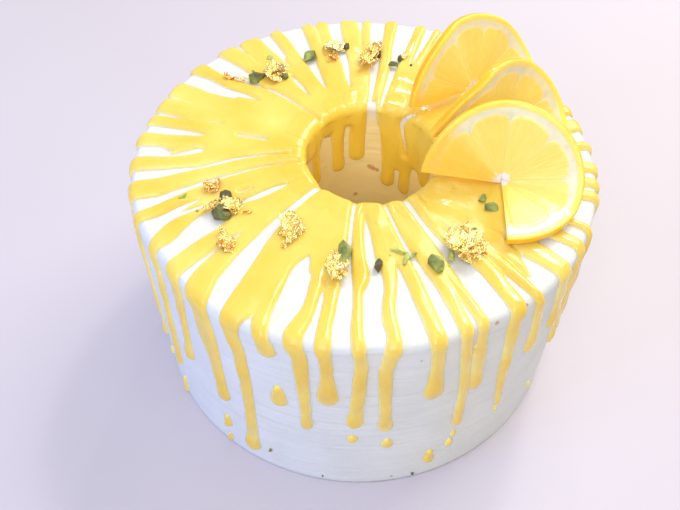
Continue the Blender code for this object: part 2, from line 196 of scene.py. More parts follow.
def maths(add, operation, *values, clamp=False):
    return add("ShaderNodeMath", *enumerate(values), operation=operation, use_clamp=clamp)


def noise(add, place, scale, detail=2.0):
    node = add("ShaderNodeTexNoise", ("Vector", place), ("Scale", scale), ("Detail", detail))
    return node.outputs["Fac"]


def between(add, value, start, end, low=0.0, high=1.0):
    """From low to high while the value goes from start to end."""
    return add("ShaderNodeMapRange", ("Value", value), ("From Min", start), ("From Max", end),
               ("To Min", low), ("To Max", high)).outputs["Result"]


def mixed(add, share, one, other):
    return add("ShaderNodeMix", ("Factor", share), (6, one), (7, other),
               data_type="RGBA").outputs[2]


def distance(add, place, spot):
    """How far a place is from a spot that is given in the cake's own millimetres."""
    return add("ShaderNodeVectorMath", (0, place), (1, tuple((spot + CAKE_AXIS) * MM)),
               operation="DISTANCE").outputs["Value"]


def relief(add, height, strength, deep, *under):
    """Bump as deep as given, in mm, over another one where there is one."""
    return add("ShaderNodeBump", ("Height", height), ("Strength", strength),
               ("Distance", deep * MM), *(("Normal", one) for one in under)).outputs["Normal"]


def dress(finish, colour, bump):
    """Link a finish's colour and relief to its shader."""
    shader = finish.node_tree.nodes["Principled BSDF"]
    finish.node_tree.links.new(colour, shader.inputs["Base Color"])
    if bump:
        finish.node_tree.links.new(bump, shader.inputs["Normal"])
    return finish


def ramp(add, source, *stops):
    """Colour ramp with the stops given as (place, colour)."""
    node = add("ShaderNodeValToRGB", ("Fac", source))
    marks = node.color_ramp.elements
    while len(marks) < len(stops):
        marks.new(0.5)
    for mark, (place, colour) in zip(marks, stops):
        mark.position = place
        mark.color = (*colour, 1.0)
    return node.outputs["Color"]


def new_tree(name, **sizes):
    """Geometry Nodes tree whose named inputs are its sizes."""
    tree = bpy.data.node_groups.new(name, "GeometryNodeTree")
    tree.interface.new_socket("Geometry", in_out="INPUT", socket_type="NodeSocketGeometry")
    for label, kind in sizes.items():
        tree.interface.new_socket(label, in_out="INPUT", socket_type="NodeSocket" + kind)
    tree.interface.new_socket("Geometry", in_out="OUTPUT", socket_type="NodeSocketGeometry")
    add = node_maker(tree)
    return tree, add, add("NodeGroupInput")


def along_normal(add, amount):
    """The surface's normal, as long as the amount."""
    return add("ShaderNodeVectorMath", (0, add("GeometryNodeInputNormal")),
               ("Scale", amount), operation="SCALE")


def end_tree(add, given, mesh):
    """Set the material that was given, and let the mesh out."""
    done = add("GeometryNodeSetMaterial", ("Geometry", mesh),
               ("Material", given.outputs["Material"]))
    add("NodeGroupOutput", ("Geometry", done))


def grow(item, tree, **sizes):
    """Run a tree on an object and keep the plain mesh that comes out of it."""
    modifier = item.modifiers.new(tree.name, "NODES")
    modifier.node_group = tree
    for socket in tree.interface.items_tree:
        if socket.in_out == "INPUT" and socket.name in sizes:
            modifier[socket.identifier] = sizes[socket.name]
    return make_plain(item)


def make_plain(item):
    """Replace the mesh by what its modifiers give, and drop the modifiers."""
    graph = bpy.context.evaluated_depsgraph_get()
    graph.update()
    mesh = bpy.data.meshes.new_from_object(item.evaluated_get(graph))
    item.modifiers.clear()
    item.data = mesh
    return item


def sponge_marks():
    """Places and sizes of the marks, in the hole and along the rim."""
    in_hole = ((-109, 9.5, 2.2), (-136, 11, 1.6), (-139, 11.5, 1.5), (173.4, 36.8, 2.1),
               (175.9, 36.1, 2.5), (178.4, 35.4, 2.4), (180.8, 34.7, 2), (-166, 52, 1.8))
    on_coat = ((-22, 90, 1.5), (-20.6, 88.5, 1.2), (31.8, 89, 1.6), (39.8, 88.6, 1.3),
               (13.9, 96, 0.9), (10, 183, 1.5))
    for angle, depth, size in in_hole:
        yield hole_wall(angle, depth)[0], size
    for angle, travel, size in on_coat:
        yield coat(angle, travel)[0], size


def cream_finish():
    finish, add, place = new_finish(
        "whipped_cream", Roughness=0.46, IOR=1.45, Subsurface_Weight=0.35,
        Subsurface_Radius=(1.0, 0.85, 0.65), Subsurface_Scale=0.0025)
    # inside the hole the coat is thin, and the sponge's beige comes through; the beige is also
    # painted warm light bounced off the sauce into the shaded hole, more of it further down
    apart = add("ShaderNodeSeparateXYZ", ("Vector", place))
    flat = add("ShaderNodeCombineXYZ", ("X", apart.outputs["X"]), ("Y", apart.outputs["Y"]))
    from_hole = distance(add, flat, np.append(HOLE_MIDDLE, 0))
    within = between(add, from_hole, 29.3 * MM, 28.3 * MM)
    below = between(add, apart.outputs["Z"], 99.5 * MM, 91.0 * MM, low=0.25)
    cloud = noise(add, place, 60.0, 5.0)
    white = ramp(add, cloud, (0.30, (0.68, 0.685, 0.64)), (0.65, (0.73, 0.735, 0.69)))
    sponge_and_bounce_beige = ramp(add, cloud, (0.30, (1.0, 0.80, 0.39)), (0.70, (1.0, 0.86, 0.50)))
    colour = mixed(add, maths(add, "MULTIPLY", within, below), white, sponge_and_bounce_beige)
    # small marks where the baked sponge shows through the cream
    blur = noise(add, place, 700.0)
    shown = 0.0
    for spot, size in sponge_marks():
        torn = maths(add, "MULTIPLY_ADD", blur, size * MM, distance(add, place, spot))
        mark = between(add, torn, 1.2 * size * MM, 0.8 * size * MM, high=0.7)
        shown = maths(add, "MAXIMUM", shown, mark)
    colour = mixed(add, shown, colour, (0.50, 0.17, 0.10, 1.0))
    # long low streaks that the knife left round the side, and a fine grain
    drawn_out = add("ShaderNodeMapping", ("Vector", place), ("Scale", (18.0, 18.0, 420.0)))
    streaks = relief(add, noise(add, drawn_out, 1.0, 4.0), 0.7, 0.8)
    return dress(finish, colour, relief(add, noise(add, place, 900.0, 3.0), 0.3, 0.3, streaks))


def spreading_tree():
    """Low lumps along the normal, fading out at the base so that it rests flat."""
    tree, add, given = new_tree("spreading", Unevenness="Float", Material="Material")
    place = add("GeometryNodeInputPosition")
    height = add("ShaderNodeSeparateXYZ", ("Vector", place)).outputs["Z"]
    lumps = maths(add, "SUBTRACT", noise(add, place, 55.0), 0.5)
    lumps = maths(add, "MULTIPLY", lumps, given.outputs["Unevenness"])
    lumps = maths(add, "MULTIPLY", lumps, between(add, height, 0.0, 0.006))
    moved = add("GeometryNodeSetPosition", ("Geometry", given.outputs["Geometry"]),
                ("Offset", along_normal(add, lumps)))
    real = add("GeometryNodeRealizeInstances", ("Geometry", moved))
    end_tree(add, given, real)
    return tree


rows = cream_rows()
cream = new_mesh("cream_coat", rows.reshape(-1, 3), ring_faces(*rows.shape[:2]).tolist())
cream_look = cream_finish()
grow(cream, spreading_tree(), Unevenness=2 * UNEVEN * MM, Material=cream_look)
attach(cream, "root")
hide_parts("cake")


# ----------------------------------------------------------------- lemon sauce
# Thick glossy lemon curd, spooned round the hole: it stands in a ring there, runs
# out over the rim in tongues, hangs down the side in drips with full ends, and
# pours into the hole. Each run is drawn as a line with left and right edges.
RIM_TRAVEL = 187.5            # travel down the wall is this less the height
SAUCE_DEPTH = 1.45
SAUCE_WALL = 0.7              # from its upper side to its underside, in the coat
EDGE_ROLL = 1.8               # width of the rounded edge of the sauce
HOLE_ROLL = 3.0               # the same inside the hole
HOLE_REACH = 28.5             # from the hole's middle, counted as inside it
HOLE_FLOOR = 54               # the grid of the sauce goes this deep into the hole
DRIP_TRAVEL = 95              # runs that end beyond this hang with a full end
END_SWELL = 0.20              # how much wider such an end is
END_FULL = 0.45               # and how much thicker
SAUCE_COLUMNS = 1100
SAUCE_TRIANGLES = 88000       # of each half's upper side
EDGE_KEPT = 0.9               # width along a drip's edge that isn't thinned
SHARP_EDGE = 58               # the turn from which an edge is shaded sharp
# The two halves part in the bare gaps at the back and at the front on the left
BACK_GAP = (172, 190)
FRONT_GAP = (312, 330)
FRONT_FOOT = (51.7, -15.0)    # middle of the front lemon slice
HEAP = 2.3                    # extra depth against that slice
POOL_OUTER = 61.0             # from the cake's axis
# Runs from the left-hand side round the front to the right: stations of travel
# over the coat from the axis, left edge and right edge
RUNS = (
    ((30, -117, -108), (50, -109, -102.5), (60, -106, -99.6), (70, -105, -99.8),
     (80, -104.3, -99.8), (88, -104, -99.4), (92, -103.4, -100), (135, -102.2, -100.4)),
    ((30, -110, -100), (50, -102, -94.5), (60, -99.5, -92.5), (70, -97.6, -91.8),
     (80, -97.2, -91.8), (88, -97, -91.6), (92, -96.6, -92.4), (110, -96, -93.8),
     (132, -95.8, -94.2)),
    ((69, -93.6, -91), (75, -92.4, -89.2), (80, -91.6, -89.2)),
    ((30, -99, -92.5), (50, -93.5, -86.5), (60, -91, -83.6), (70, -88, -82.8),
     (80, -87.5, -82.6), (85, -88.4, -82.9), (90, -87.2, -83), (110, -85.4, -83),
     (149, -84.9, -83.3)),
    ((30, -90, -82), (50, -85, -78), (66, -81.5, -75), (80, -79.4, -72.3),
     (88, -79.2, -73), (92, -78.4, -73.6), (105, -77.2, -74.8), (127, -76.9, -75.2)),
    ((30, -80, -70), (50, -76, -66.5), (66, -73, -64.5), (80, -69.7, -65.2),
     (88, -68.8, -65), (92, -68.4, -65.4), (110, -67.9, -66.1), (163, -67.7, -66.3)),
    ((30, -68, -60), (50, -65.5, -60), (60, -64, -59.5), (70, -62.9, -58.9),
     (77, -62.5, -57.5), (82, -61, -54.6), (86, -58.8, -53.6), (90, -58.2, -54.2),
     (105, -57.3, -54.3), (140, -57, -54.6), (160, -56.8, -54.7)),
    ((30, -58, -52), (50, -54, -48.5), (60, -53, -47), (70, -52.6, -46.3),
     (80, -51.4, -45.9), (88, -50.3, -45.2), (92, -48.8, -44.2), (105, -48.3, -45),
     (125, -48.2, -45.4), (137, -48.4, -45.6)),
    ((30, -50, -44), (50, -46, -41.7), (60, -45.5, -40.6), (70, -45.5, -39.4),
     (80, -44.6, -37.7), (88, -42.3, -35.4), (93, -40.4, -33.8), (100, -39.8, -34),
     (108, -39.6, -33.6), (116, -37.8, -33.5), (126, -37.1, -33.4), (135, -36.6, -33.2),
     (146, -36.1, -33.1)),
    ((30, -40, -31), (50, -37.1, -26.5), (60, -35.4, -25), (70, -33.7, -22.5),
     (80, -32.6, -23.6), (88, -31.4, -25.9), (95, -30.6, -26.6), (104, -29, -25.6),
     (122, -28.3, -25), (144, -28.1, -25.1), (166, -28.8, -25.4), (175, -29.3, -25.5)),
    ((30, -31, -24), (50, -27, -20.8), (60, -26, -20.4), (70, -26, -20),
     (80, -25, -20.6), (86, -24, -19.8), (91, -22.2, -18.7), (96, -21.6, -18)),
    ((30, -20, -14), (50, -17.5, -11.5), (60, -15.4, -10.9), (70, -14.3, -10.7),
     (76, -14.4, -10.6), (80, -15.6, -11.2), (85, -16.6, -12), (90, -16, -11.6),
     (95, -14.2, -10.4), (111, -13.6, -10.5), (127, -13, -10.3), (141, -12.8, -10.4)),
    ((30, -13, -6.5), (50, -11.5, -5.6), (60, -10.4, -5.2), (70, -9.7, -5.5),
     (80, -9.6, -5.9), (88, -9.2, -5.3), (93, -8.2, -5.2), (103, -7.8, -5),
     (112, -8.2, -4.5), (118.5, -8.3, -4.3)),
    ((30, -4.5, 3), (45, -3.5, 2.6), (52, -2.8, 2.8), (57, -2.2, 3.9), (61, -2, 3.4),
     (65, -1.7, 1.5), (70, -1.5, 1.4), (80, -1.7, 1.4), (88, -1.2, 2.0), (96, -0.4, 2.6),
     (113, -0.8, 2.3), (126, -1.4, 1.8), (134.5, -1.6, 1.6)),
    ((30, 4.5, 12.5), (50, 5, 13.6), (60, 6.3, 13.2), (65, 6.6, 12), (70, 6, 10.4),
     (75, 5.5, 9.6), (82, 6.6, 10.4), (87, 6.2, 10.2), (92, 5.2, 8.8), (100, 4.8, 7.9),
     (114, 5.2, 8.1), (138.5, 5.9, 8.7)),
    ((30, 12.5, 19.5), (50, 13.6, 20), (60, 14.6, 20.2), (70, 14.9, 20), (80, 15.2, 20),
     (88, 15.4, 19.6), (95, 16.2, 19.5), (105, 16.2, 19.5), (118.5, 15.9, 19.9)),
    ((30, 20, 28), (50, 21.4, 29), (70, 22.8, 27.6), (80, 22.6, 26.4), (88, 22.4, 25.7),
     (93, 22.8, 26), (99, 23.3, 26.4), (112, 24.1, 27), (128, 24.8, 27.6),
     (148, 24.9, 27.2)),
    ((30, 25, 33), (50, 26, 31.8), (70, 26.4, 30.4), (80, 27, 30.1), (88, 26.9, 29.7),
     (93, 26.9, 30.2), (109, 27.2, 30.7), (123.5, 27.6, 30.6)),
    ((30, 36, 44), (50, 36.4, 44), (60, 36.9, 43), (70, 37, 42), (80, 35.9, 40.6),
     (88, 34.9, 40), (93, 34.7, 38.8), (105, 35.4, 39), (125, 36, 39),
     (140, 36.9, 38.9), (151, 37.8, 38.8)),
    ((30, 41, 50), (50, 41.5, 48), (70, 41.8, 46), (80, 41.9, 45), (88, 41.7, 44.2),
     (93, 42.5, 45.4), (105, 43.4, 46.8), (121.5, 43.8, 47.2)),
    ((30, 47, 54), (60, 45.5, 52), (75, 45.4, 50), (82, 45.9, 48.7)),
    ((30, 52, 62), (50, 51, 60), (70, 50.6, 58), (85, 50.3, 56), (92, 50.8, 55.2),
     (105, 52.4, 56.2), (121.5, 53.4, 56.9)),
    ((30, 60, 70), (50, 60, 67), (70, 59.9, 65), (85, 60, 63.8), (92, 59, 62.4),
     (110, 59.4, 62.4), (147, 60.4, 62.6)),
    ((30, 66, 74), (50, 66, 72), (70, 66.5, 70), (85, 66.6, 69), (92, 65.2, 68),
     (147, 64.8, 66.4)),
)
# Runs at the right, beside and under the slices: angle, width 85 mm out, end height
SIDE_RUNS = (
    (78.2, 3.4, 26), (83, 3.4, 58), (88.2, 4.0, 44), (96.2, 3.1, 66),
    (104.2, 5.0, 30), (110.3, 4.4, 50),
)
# Runs behind: angle 50 mm out, angle and width 85 mm out. Their ends hang at
# heights drawn at random between the two of BACK_STOP
BACK_RUNS = (
    (118, 118, 4.4), (124.5, 124.5, 4.6), (131, 131, 4.8), (138, 138, 4.4),
    (145, 145, 5.0), (152, 152, 4.6), (159, 158.8, 2.4), (163.5, 163.8, 3.7),
    (172, 172.5, 4.6), (179.3, 180, 2.6), (184.6, 185.3, 5.6), (193, 193.4, 4.0),
    (198.2, 197.8, 3.8), (207.5, 207.2, 4.8), (214.6, 216, 6.8), (220.6, 223.6, 6.8),
    (229.6, 234.6, 5.7), (240.5, 244.8, 6.6), (247, 251.5, 6.0),
)
BACK_STOP = (15, 72)
WIDTH_TAKEN_AT = 85           # from the axis
# Bare gaps between the runs: stations of travel from the axis, left and right edge
GAPS = (
    ((43, -171.8, -171.2), (50, -172.5, -170.5), (60, -172.8, -170.2), (70, -172, -169.8),
     (80, -171.8, -168.7), (96, -172, -168.5)),
    ((45, -158.4, -157.6), (50, -158.9, -156.8), (60, -159.5, -156.2), (70, -159.8, -155.6),
     (80, -160, -155.4), (96, -160.5, -153.7)),
    ((43, -147.6, -147), (50, -148.2, -146), (57, -147.5, -146.4)),
    ((72, -150.6, -149.6), (80, -150.8, -148), (96, -150.2, -147.4)),
    ((28, -139.6, -138.8), (40, -138, -136.8), (50, -136.8, -135), (57, -134.6, -133.4)),
    ((68, -134.6, -133.4), (72, -135, -132.4), (80, -134.4, -130.3), (96, -132.6, -128.6)),
    ((55, -126.6, -126), (60, -126.3, -124), (70, -124, -120.6), (80, -124.3, -119.6),
     (96, -121.8, -118.9)),
    ((40, -103.5, -101.5), (51, -102.6, -101)),
    ((66, -99.5, -98.5), (70, -100, -97.6), (96, -100, -97.5)),
    ((28, -92, -91), (40, -89.6, -88), (50, -87.2, -85.4), (57, -84.6, -83),
     (65, -82.6, -81.6), (75, -81.6, -80), (80, -82.3, -79.4), (96, -83, -79.4)),
    ((76, -90.4, -89.4), (80, -92, -88), (96, -91.6, -88.2)),
    ((25, -81.6, -80.4), (40, -80, -78.8), (50, -77.6, -76.2), (60, -75.6, -74.4),
     (66, -74.4, -73.4), (80, -72, -69.7), (96, -73, -68.6)),
    ((33, -61.2, -59.8), (37, -62.4, -58.4), (44, -61.4, -57.8), (51, -60.4, -58.8)),
    ((46, -65.9, -64.9), (50, -65.8, -64.8)),
    ((66, -67.6, -66.8), (75, -66.4, -64.6), (80, -65, -62.9), (96, -65, -58.3)),
    ((60, -58.6, -55), (65, -61.5, -53.4), (72, -58.6, -53), (80, -55.4, -51.6),
     (96, -54.5, -50.4)),
    ((22, -46, -40), (30, -45, -41), (40, -43.5, -40), (50, -42, -38), (60, -40.5, -36),
     (70, -38.8, -34), (80, -37, -32.6), (88, -35, -31.4), (98, -34.2, -31.6)),
    ((72, -46, -45.5), (80, -45.6, -44.7), (96, -44.4, -42.6)),
    ((54, -19.8, -19), (60, -22.4, -16.8), (70, -21.4, -14.9), (80, -20.8, -15.6),
     (86, -19.6, -16.9), (91, -18.4, -16), (95, -17.7, -14.8)),
    ((68, -10.7, -10.1), (84, -10.7, -9.5), (96, -10.2, -9.0)),
    ((22, -6.8, -3.6), (30, -6.8, -4.6), (40, -6, -4.2), (50, -5.4, -3.6), (60, -5.2, -2.4),
     (70, -5.5, -1.9), (84, -5.4, -1.9), (96, -4.9, -0.8)),
    ((32, 2.8, 3.2), (40, 2, 5.4), (50, 2.5, 6), (58, 4.2, 7.6), (63, 3, 8),
     (70, 1.6, 6.2), (80, 1.6, 5.6), (88, 2.1, 5.3), (96, 2.8, 4.9)),
    ((56, 13.4, 14), (60, 12.9, 14.6), (70, 10.5, 14.9), (80, 10, 15.4), (96, 9.7, 15.4)),
    ((25, 17.6, 20.2), (30, 18, 20), (40, 18.5, 20), (50, 19, 20.6), (60, 19.8, 22),
     (70, 20, 22.6), (96, 19.6, 22.2)),
    ((76, 26.5, 26.9), (96, 26.4, 26.9)),
    ((24, 33.6, 38), (30, 33, 37), (40, 32, 34.6), (50, 31.5, 34.2), (60, 31, 35.6),
     (70, 30.4, 36.4), (80, 30.4, 36), (96, 30, 34.6)),
    ((78, 40.8, 41.6), (96, 38.8, 42.3)),
    ((74, 49.6, 50.2), (84, 45.6, 50.4), (96, 45.6, 50.6)),
    ((68, 58.4, 59.4), (85, 56, 60), (96, 55.2, 59)),
    ((72, 65.2, 66.2), (85, 63.9, 66.6), (96, 62.4, 65.4)),
    ((28, 175, 176.4), (50, 174.3, 177.4), (80, 174.6, 178), (96, 174.6, 178)),
    ((30, 166.4, 168.2), (65, 166.4, 169), (70, 165.8, 170.3), (96, 165.6, 170.6)),
    ((74, 160.3, 161), (96, 160, 162)),
)
# The sauce inside the hole: angle about the hole's middle, half width, length
HOLE_RUNS = (
    (-112, 4.2, 14.5), (-121, 4.2, 15.5), (-121, 2.7, 33), (-148.5, 3.5, 34),
    (-167, 4.3, 30), (162.5, 3.6, 45), (145, 3.3, 46), (121.5, 3.7, 33),
    (-35, 4.4, 6), (-17, 4.8, 5), (5, 4.8, 4), (27, 4.8, 4.5), (50, 5.0, 5), (65, 4.2, 26),
    (80, 4.2, 18), (-52, 3.8, 22), (-68, 3.8, 9), (-85, 3.4, 32),
)
# How far the sheet between those runs reaches down, by angle
HOLE_SHEET = (
    (-180, 9), (-130, 9), (-126, 13), (-104, 13), (-98, 8), (-60, 6), (-20, 4.5), (40, 4.5),
    (60, 7), (90, 9), (106, 15), (116, 28), (126, 29), (136, 27), (145, 31), (154, 33),
    (165, 33), (169, 30), (173, 10), (180, 9),
)
# Bare gaps in it: depth, left and right edge
HOLE_GAPS = (
    ((-2, 177.2, 184.2), (6, 176.6, 184.4), (14, 174.5, 184.8), (24, 171, 185.2),
     (36, 169.5, 185.5)),
    ((0.5, 142.4, 145), (4, 148.6, 152.2), (7, 151.4, 155.4), (12, 149.8, 152.8),
     (18, 146.4, 148.4), (22, 144.8, 145.8)),
    ((10.5, -159.5, -157), (14, -159.8, -154.6), (19, -157.8, -154.4), (26, -156.2, -154.6)),
)
# Drops that have parted from their runs: angle, height, half width, half length
DROPS = (
    (-35.1, 20, 1.9, 4.2), (-35.3, 5.5, 1.3, 2.6), (-18, 63, 3.1, 6.2), (-0.5, 40.2, 2.1, 2.1),
    (8, 36, 2.3, 3.1), (19.6, 16.5, 2.3, 4.8), (25.6, 31, 1.1, 2.6), (24.9, 23.5, 1.8, 2.5),
    (38.4, 31, 0.9, 1.9), (-56, 8, 1.3, 6), (-64, 17, 1.1, 3), (54.4, 19, 0.9, 1.8),
    (150, 22, 1.6, 5), (-140, 16, 1.5, 5),
)


def even_line(stations, step=0.6, soft=5):
    """Stations resampled evenly along their first value, with corners eased."""
    table = np.array(stations, float)
    count = max(4, int((table[-1, 0] - table[0, 0]) / step))
    along = np.linspace(table[0, 0], table[-1, 0], count)
    columns = [along]
    window = np.hanning(2 * soft + 3)
    window /= window.sum()
    for column in table[:, 1:].T:
        values = np.interp(along, table[:, 0], column)
        padded = np.pad(values, soft + 1, mode="reflect", reflect_type="odd")
        columns.append(np.convolve(padded, window, mode="valid"))
    return np.array(columns)


def from_middle(points, middle=(0, 0)):
    return np.hypot(points[..., 0] - middle[0], points[..., 1] - middle[1])


def band(stations, **evenly):
    """Along a line with a left and right edge: travel, points, and half width."""
    travel, left, right = even_line(stations, **evenly)
    points = coat((left + right) / 2, travel)[0]
    return travel, points, np.radians(right - left) / 2 * from_middle(points)


def sauce_lines():
    """Every run as points on the coat, with half width and fullness at each."""
    lines = []
    for stations in RUNS:
        travel, points, half = band(stations)
        lines.append((points, half * end_swell(travel), end_fullness(travel)))
    rng = random.Random(7)
    plain = [(angle, angle, width, stop) for angle, width, stop in SIDE_RUNS]
    plain += [(inner, angle, width, rng.uniform(*BACK_STOP))
              for inner, angle, width in BACK_RUNS]
    for inner, angle, width, stop in plain:
        half = math.radians(width) * WIDTH_TAKEN_AT / 2
        end = RIM_TRAVEL - stop
        travel, middle, wide = even_line((
            (30, inner, 0.7 * half), (50, inner, 0.92 * half), (72, angle, half),
            (88, angle, half), (97, angle, 0.8 * half), (end - 8, angle, 0.6 * half),
            (end, angle, 0.62 * half),
        ))
        lines.append((coat(middle, travel)[0], wide * end_swell(travel), end_fullness(travel)))
    for angle, half, length in HOLE_RUNS:
        depth, wide = even_line((
            (-3, half), (0.3 * length, half), (0.7 * length, 0.8 * half),
            (length - 0.8 * half, 0.86 * half),
        ), soft=3)
        points = hole_wall(angle, np.maximum(depth, 0))[0]
        outward = np.array((np.sin(np.radians(angle)), -np.cos(np.radians(angle))))
        points[:, :2] += outward * np.maximum(-depth, 0)[:, None]
        lines.append((points, wide, 1.15 * np.ones_like(wide)))
    for angle, height, half, reach in DROPS:
        depth = RIM_TRAVEL - height
        travel, wide = even_line((
            (depth - reach + 0.3 * half, 0.45 * half), (depth, 0.85 * half),
            (depth + reach - half, half),
        ), step=0.4, soft=2)
        lines.append((coat(angle, travel)[0], wide, 1.1 * np.ones_like(wide)))
    return lines


def end_swell(travel):
    """The hanging end of a drip is wider than the run above it."""
    left = travel[-1] - travel
    return 1 + (END_SWELL * np.exp(-(left / 5) ** 2) if travel[-1] > DRIP_TRAVEL else 0)


def end_fullness(travel):
    """Sauce gathers towards the hanging end of a drip."""
    left = travel[-1] - travel
    fuller = np.exp(-((left - 3) / 5) ** 2)
    thinner = np.clip((travel - 100) / 30, 0, 1) * 0.12
    return 1 - thinner + END_FULL * fuller * (travel[-1] > DRIP_TRAVEL)


def gap_lines():
    """Every bare gap as points on the coat, with half width at each."""
    lines = [band(stations, step=1.0)[1:] for stations in GAPS]
    for stations in HOLE_GAPS:
        depth, left, right = even_line(stations, step=1.0, soft=3)
        points = hole_wall((left + right) / 2, np.maximum(depth, 0))[0]
        lines.append((points, np.radians(right - left) / 2 * HOLE_TOP))
    return lines


def nearest(points, line, reach):
    """For grid points near a line: their index, and how far each line point is."""
    low = line.min(0) - reach
    high = line.max(0) + reach
    index = np.nonzero(((points > low) & (points < high)).all(1))[0]
    away = points[index, None, :] - line[None, :, :]
    return index, np.sqrt((away ** 2).sum(2))


def soft_union(one, other, blend):
    """The larger of two fields, rounded where they are nearly equal."""
    near = np.clip(1 - np.abs(one - other) / blend, 0, 1)
    return np.maximum(one, other) + near * near * blend / 4


def wobble(points, size, seed):
    """Smooth random field: a sum of plane waves of about the given size."""
    rng = np.random.default_rng(seed)
    total = np.zeros(len(points))
    for _ in range(14):
        way = rng.normal(size=3)
        way /= np.linalg.norm(way)
        pace = 2 * math.pi / (size * rng.uniform(0.7, 1.6))
        total += np.sin(points @ way * pace + rng.uniform(0, 2 * math.pi))
    return total / math.sqrt(7)


def sauce_field(points):
    """At points on the coat: distance inside the sauce's edge, nearness to the crest
    of a run (0 to 1), and fullness."""
    inside = np.full(len(points), -9.0)
    crest = np.zeros(len(points))
    full = np.ones(len(points))
    from_hole = from_middle(points, HOLE_MIDDLE)
    from_axis = from_middle(points)
    on_top = points[:, 2] > CAKE_HEIGHT - 2.2
    edge = POOL_OUTER + 2.4 * wobble(points, 24, 3)
    inside = np.where(on_top, np.minimum(edge - from_axis, 6.0), inside)
    around_hole = np.degrees(np.arctan2(points[:, 0] - HOLE_MIDDLE[0],
                                        HOLE_MIDDLE[1] - points[:, 1]))
    degrees = np.arange(-200, 200)
    sheet = np.interp(degrees, *zip(*HOLE_SHEET), period=360)
    sheet = np.convolve(sheet, np.hanning(7) / np.hanning(7).sum(), mode="same")
    slant = np.gradient(sheet) / math.radians(HOLE_TOP)
    steep = np.sqrt(1 + np.interp(around_hole, degrees, slant) ** 2)
    reach = np.interp(around_hole, degrees, sheet) + 0.8 * wobble(points, 12, 4)
    inside = np.where(~on_top & (from_hole < 31),
                      (reach - (CAKE_HEIGHT - points[:, 2])) / steep, inside)
    for line, half, fullness in sauce_lines():
        index, away = nearest(points, line, half.max() + 3)
        within = half[None, :] + 0.25 - away
        best = within.max(1)
        closest = (away / half[None, :]).argmin(1)
        ratio = (away / half[None, :]).min(1)
        inside[index] = soft_union(inside[index], best, 1.3)
        crest[index] = np.maximum(crest[index], np.exp(-1.6 * ratio ** 2))
        here = ratio < 1.15
        full[index[here]] = np.maximum(full[index[here]] * 0.5 + 0.5, fullness[closest[here]])
    # the runs only part from each other away from the hole
    apart = np.clip((from_axis - 48) / 30, 0, 1)
    crest = np.where(on_top, crest * apart + 0.72 * (1 - apart), crest)
    inside += 0.16 * wobble(points, 11, 5) * np.where(on_top, 1, 0.5)
    for line, half in gap_lines():
        index, away = nearest(points, line, half.max() + 3)
        outside = (away - half[None, :]).min(1)
        inside[index] = -soft_union(-inside[index], -outside, 0.9)
    return inside, crest, full


def sauce_grid():
    """Base points and normals from deep in the hole, over the top, to the base."""
    angle = np.linspace(0, 360, SAUCE_COLUMNS, endpoint=False)
    rows = [hole_wall(angle, depth) for depth in np.arange(HOLE_FLOOR, 3.4, -0.9)]
    rows += [hole_wall(angle, depth) for depth in np.arange(3.2, 0.1, -0.5)]
    lip = hole_wall(angle, 0)[0]
    rows.append((lip, np.tile((0.0, 0.0, 1.0), (len(angle), 1))))
    edge = top_radius(angle) - RIM_ROUND
    rim = coat(angle, edge)[0]
    for share in np.linspace(0, 1, 76)[1:]:
        rows.append((lip * (1 - share) + rim * share, rows[-1][1]))
    quarter = RIM_ROUND * math.pi / 2
    for step in np.linspace(0, quarter, 9)[1:]:
        rows.append(coat(angle, edge + step))
    for drop in np.arange(0.6, CAKE_HEIGHT - RIM_ROUND - 1, 0.6):
        rows.append(coat(angle, edge + quarter + drop))
    return np.array([row[0] for row in rows]), np.array([row[1] for row in rows])


def to_edge(points, inside):
    """How far each grid point lies from the sauce's edge, as a vector to it."""
    along = np.gradient(points, axis=0)
    around = (np.roll(points, -1, 1) - np.roll(points, 1, 1)) / 2
    climb = np.gradient(inside, axis=0)
    turn = (np.roll(inside, -1, 1) - np.roll(inside, 1, 1)) / 2
    aa = (along * along).sum(-1)
    ab = (along * around).sum(-1)
    bb = (around * around).sum(-1)
    scale = 1 / (aa * bb - ab * ab)
    one = (bb * climb - ab * turn) * scale
    other = (aa * turn - ab * climb) * scale
    slope = one[..., None] * along + other[..., None] * around
    steep = np.maximum((slope * slope).sum(-1), 0.16)
    step = -inside[..., None] * slope / steep[..., None]
    length = np.maximum(np.linalg.norm(step, axis=-1, keepdims=True), 1e-6)
    return step * np.minimum(1, 1.1 / length)


def bare_line(inside, low, high):
    """For each row, the column between two angles where there is least sauce."""
    window = np.arange(int(low / 360 * SAUCE_COLUMNS), int(high / 360 * SAUCE_COLUMNS))
    line = []
    for row in np.clip(inside, -1.5, 6):
        cost = row[window]
        if line:
            cost = cost + 0.12 * np.abs(window - line[-1])
        line.append(window[cost.argmin()])
    return np.array(line)


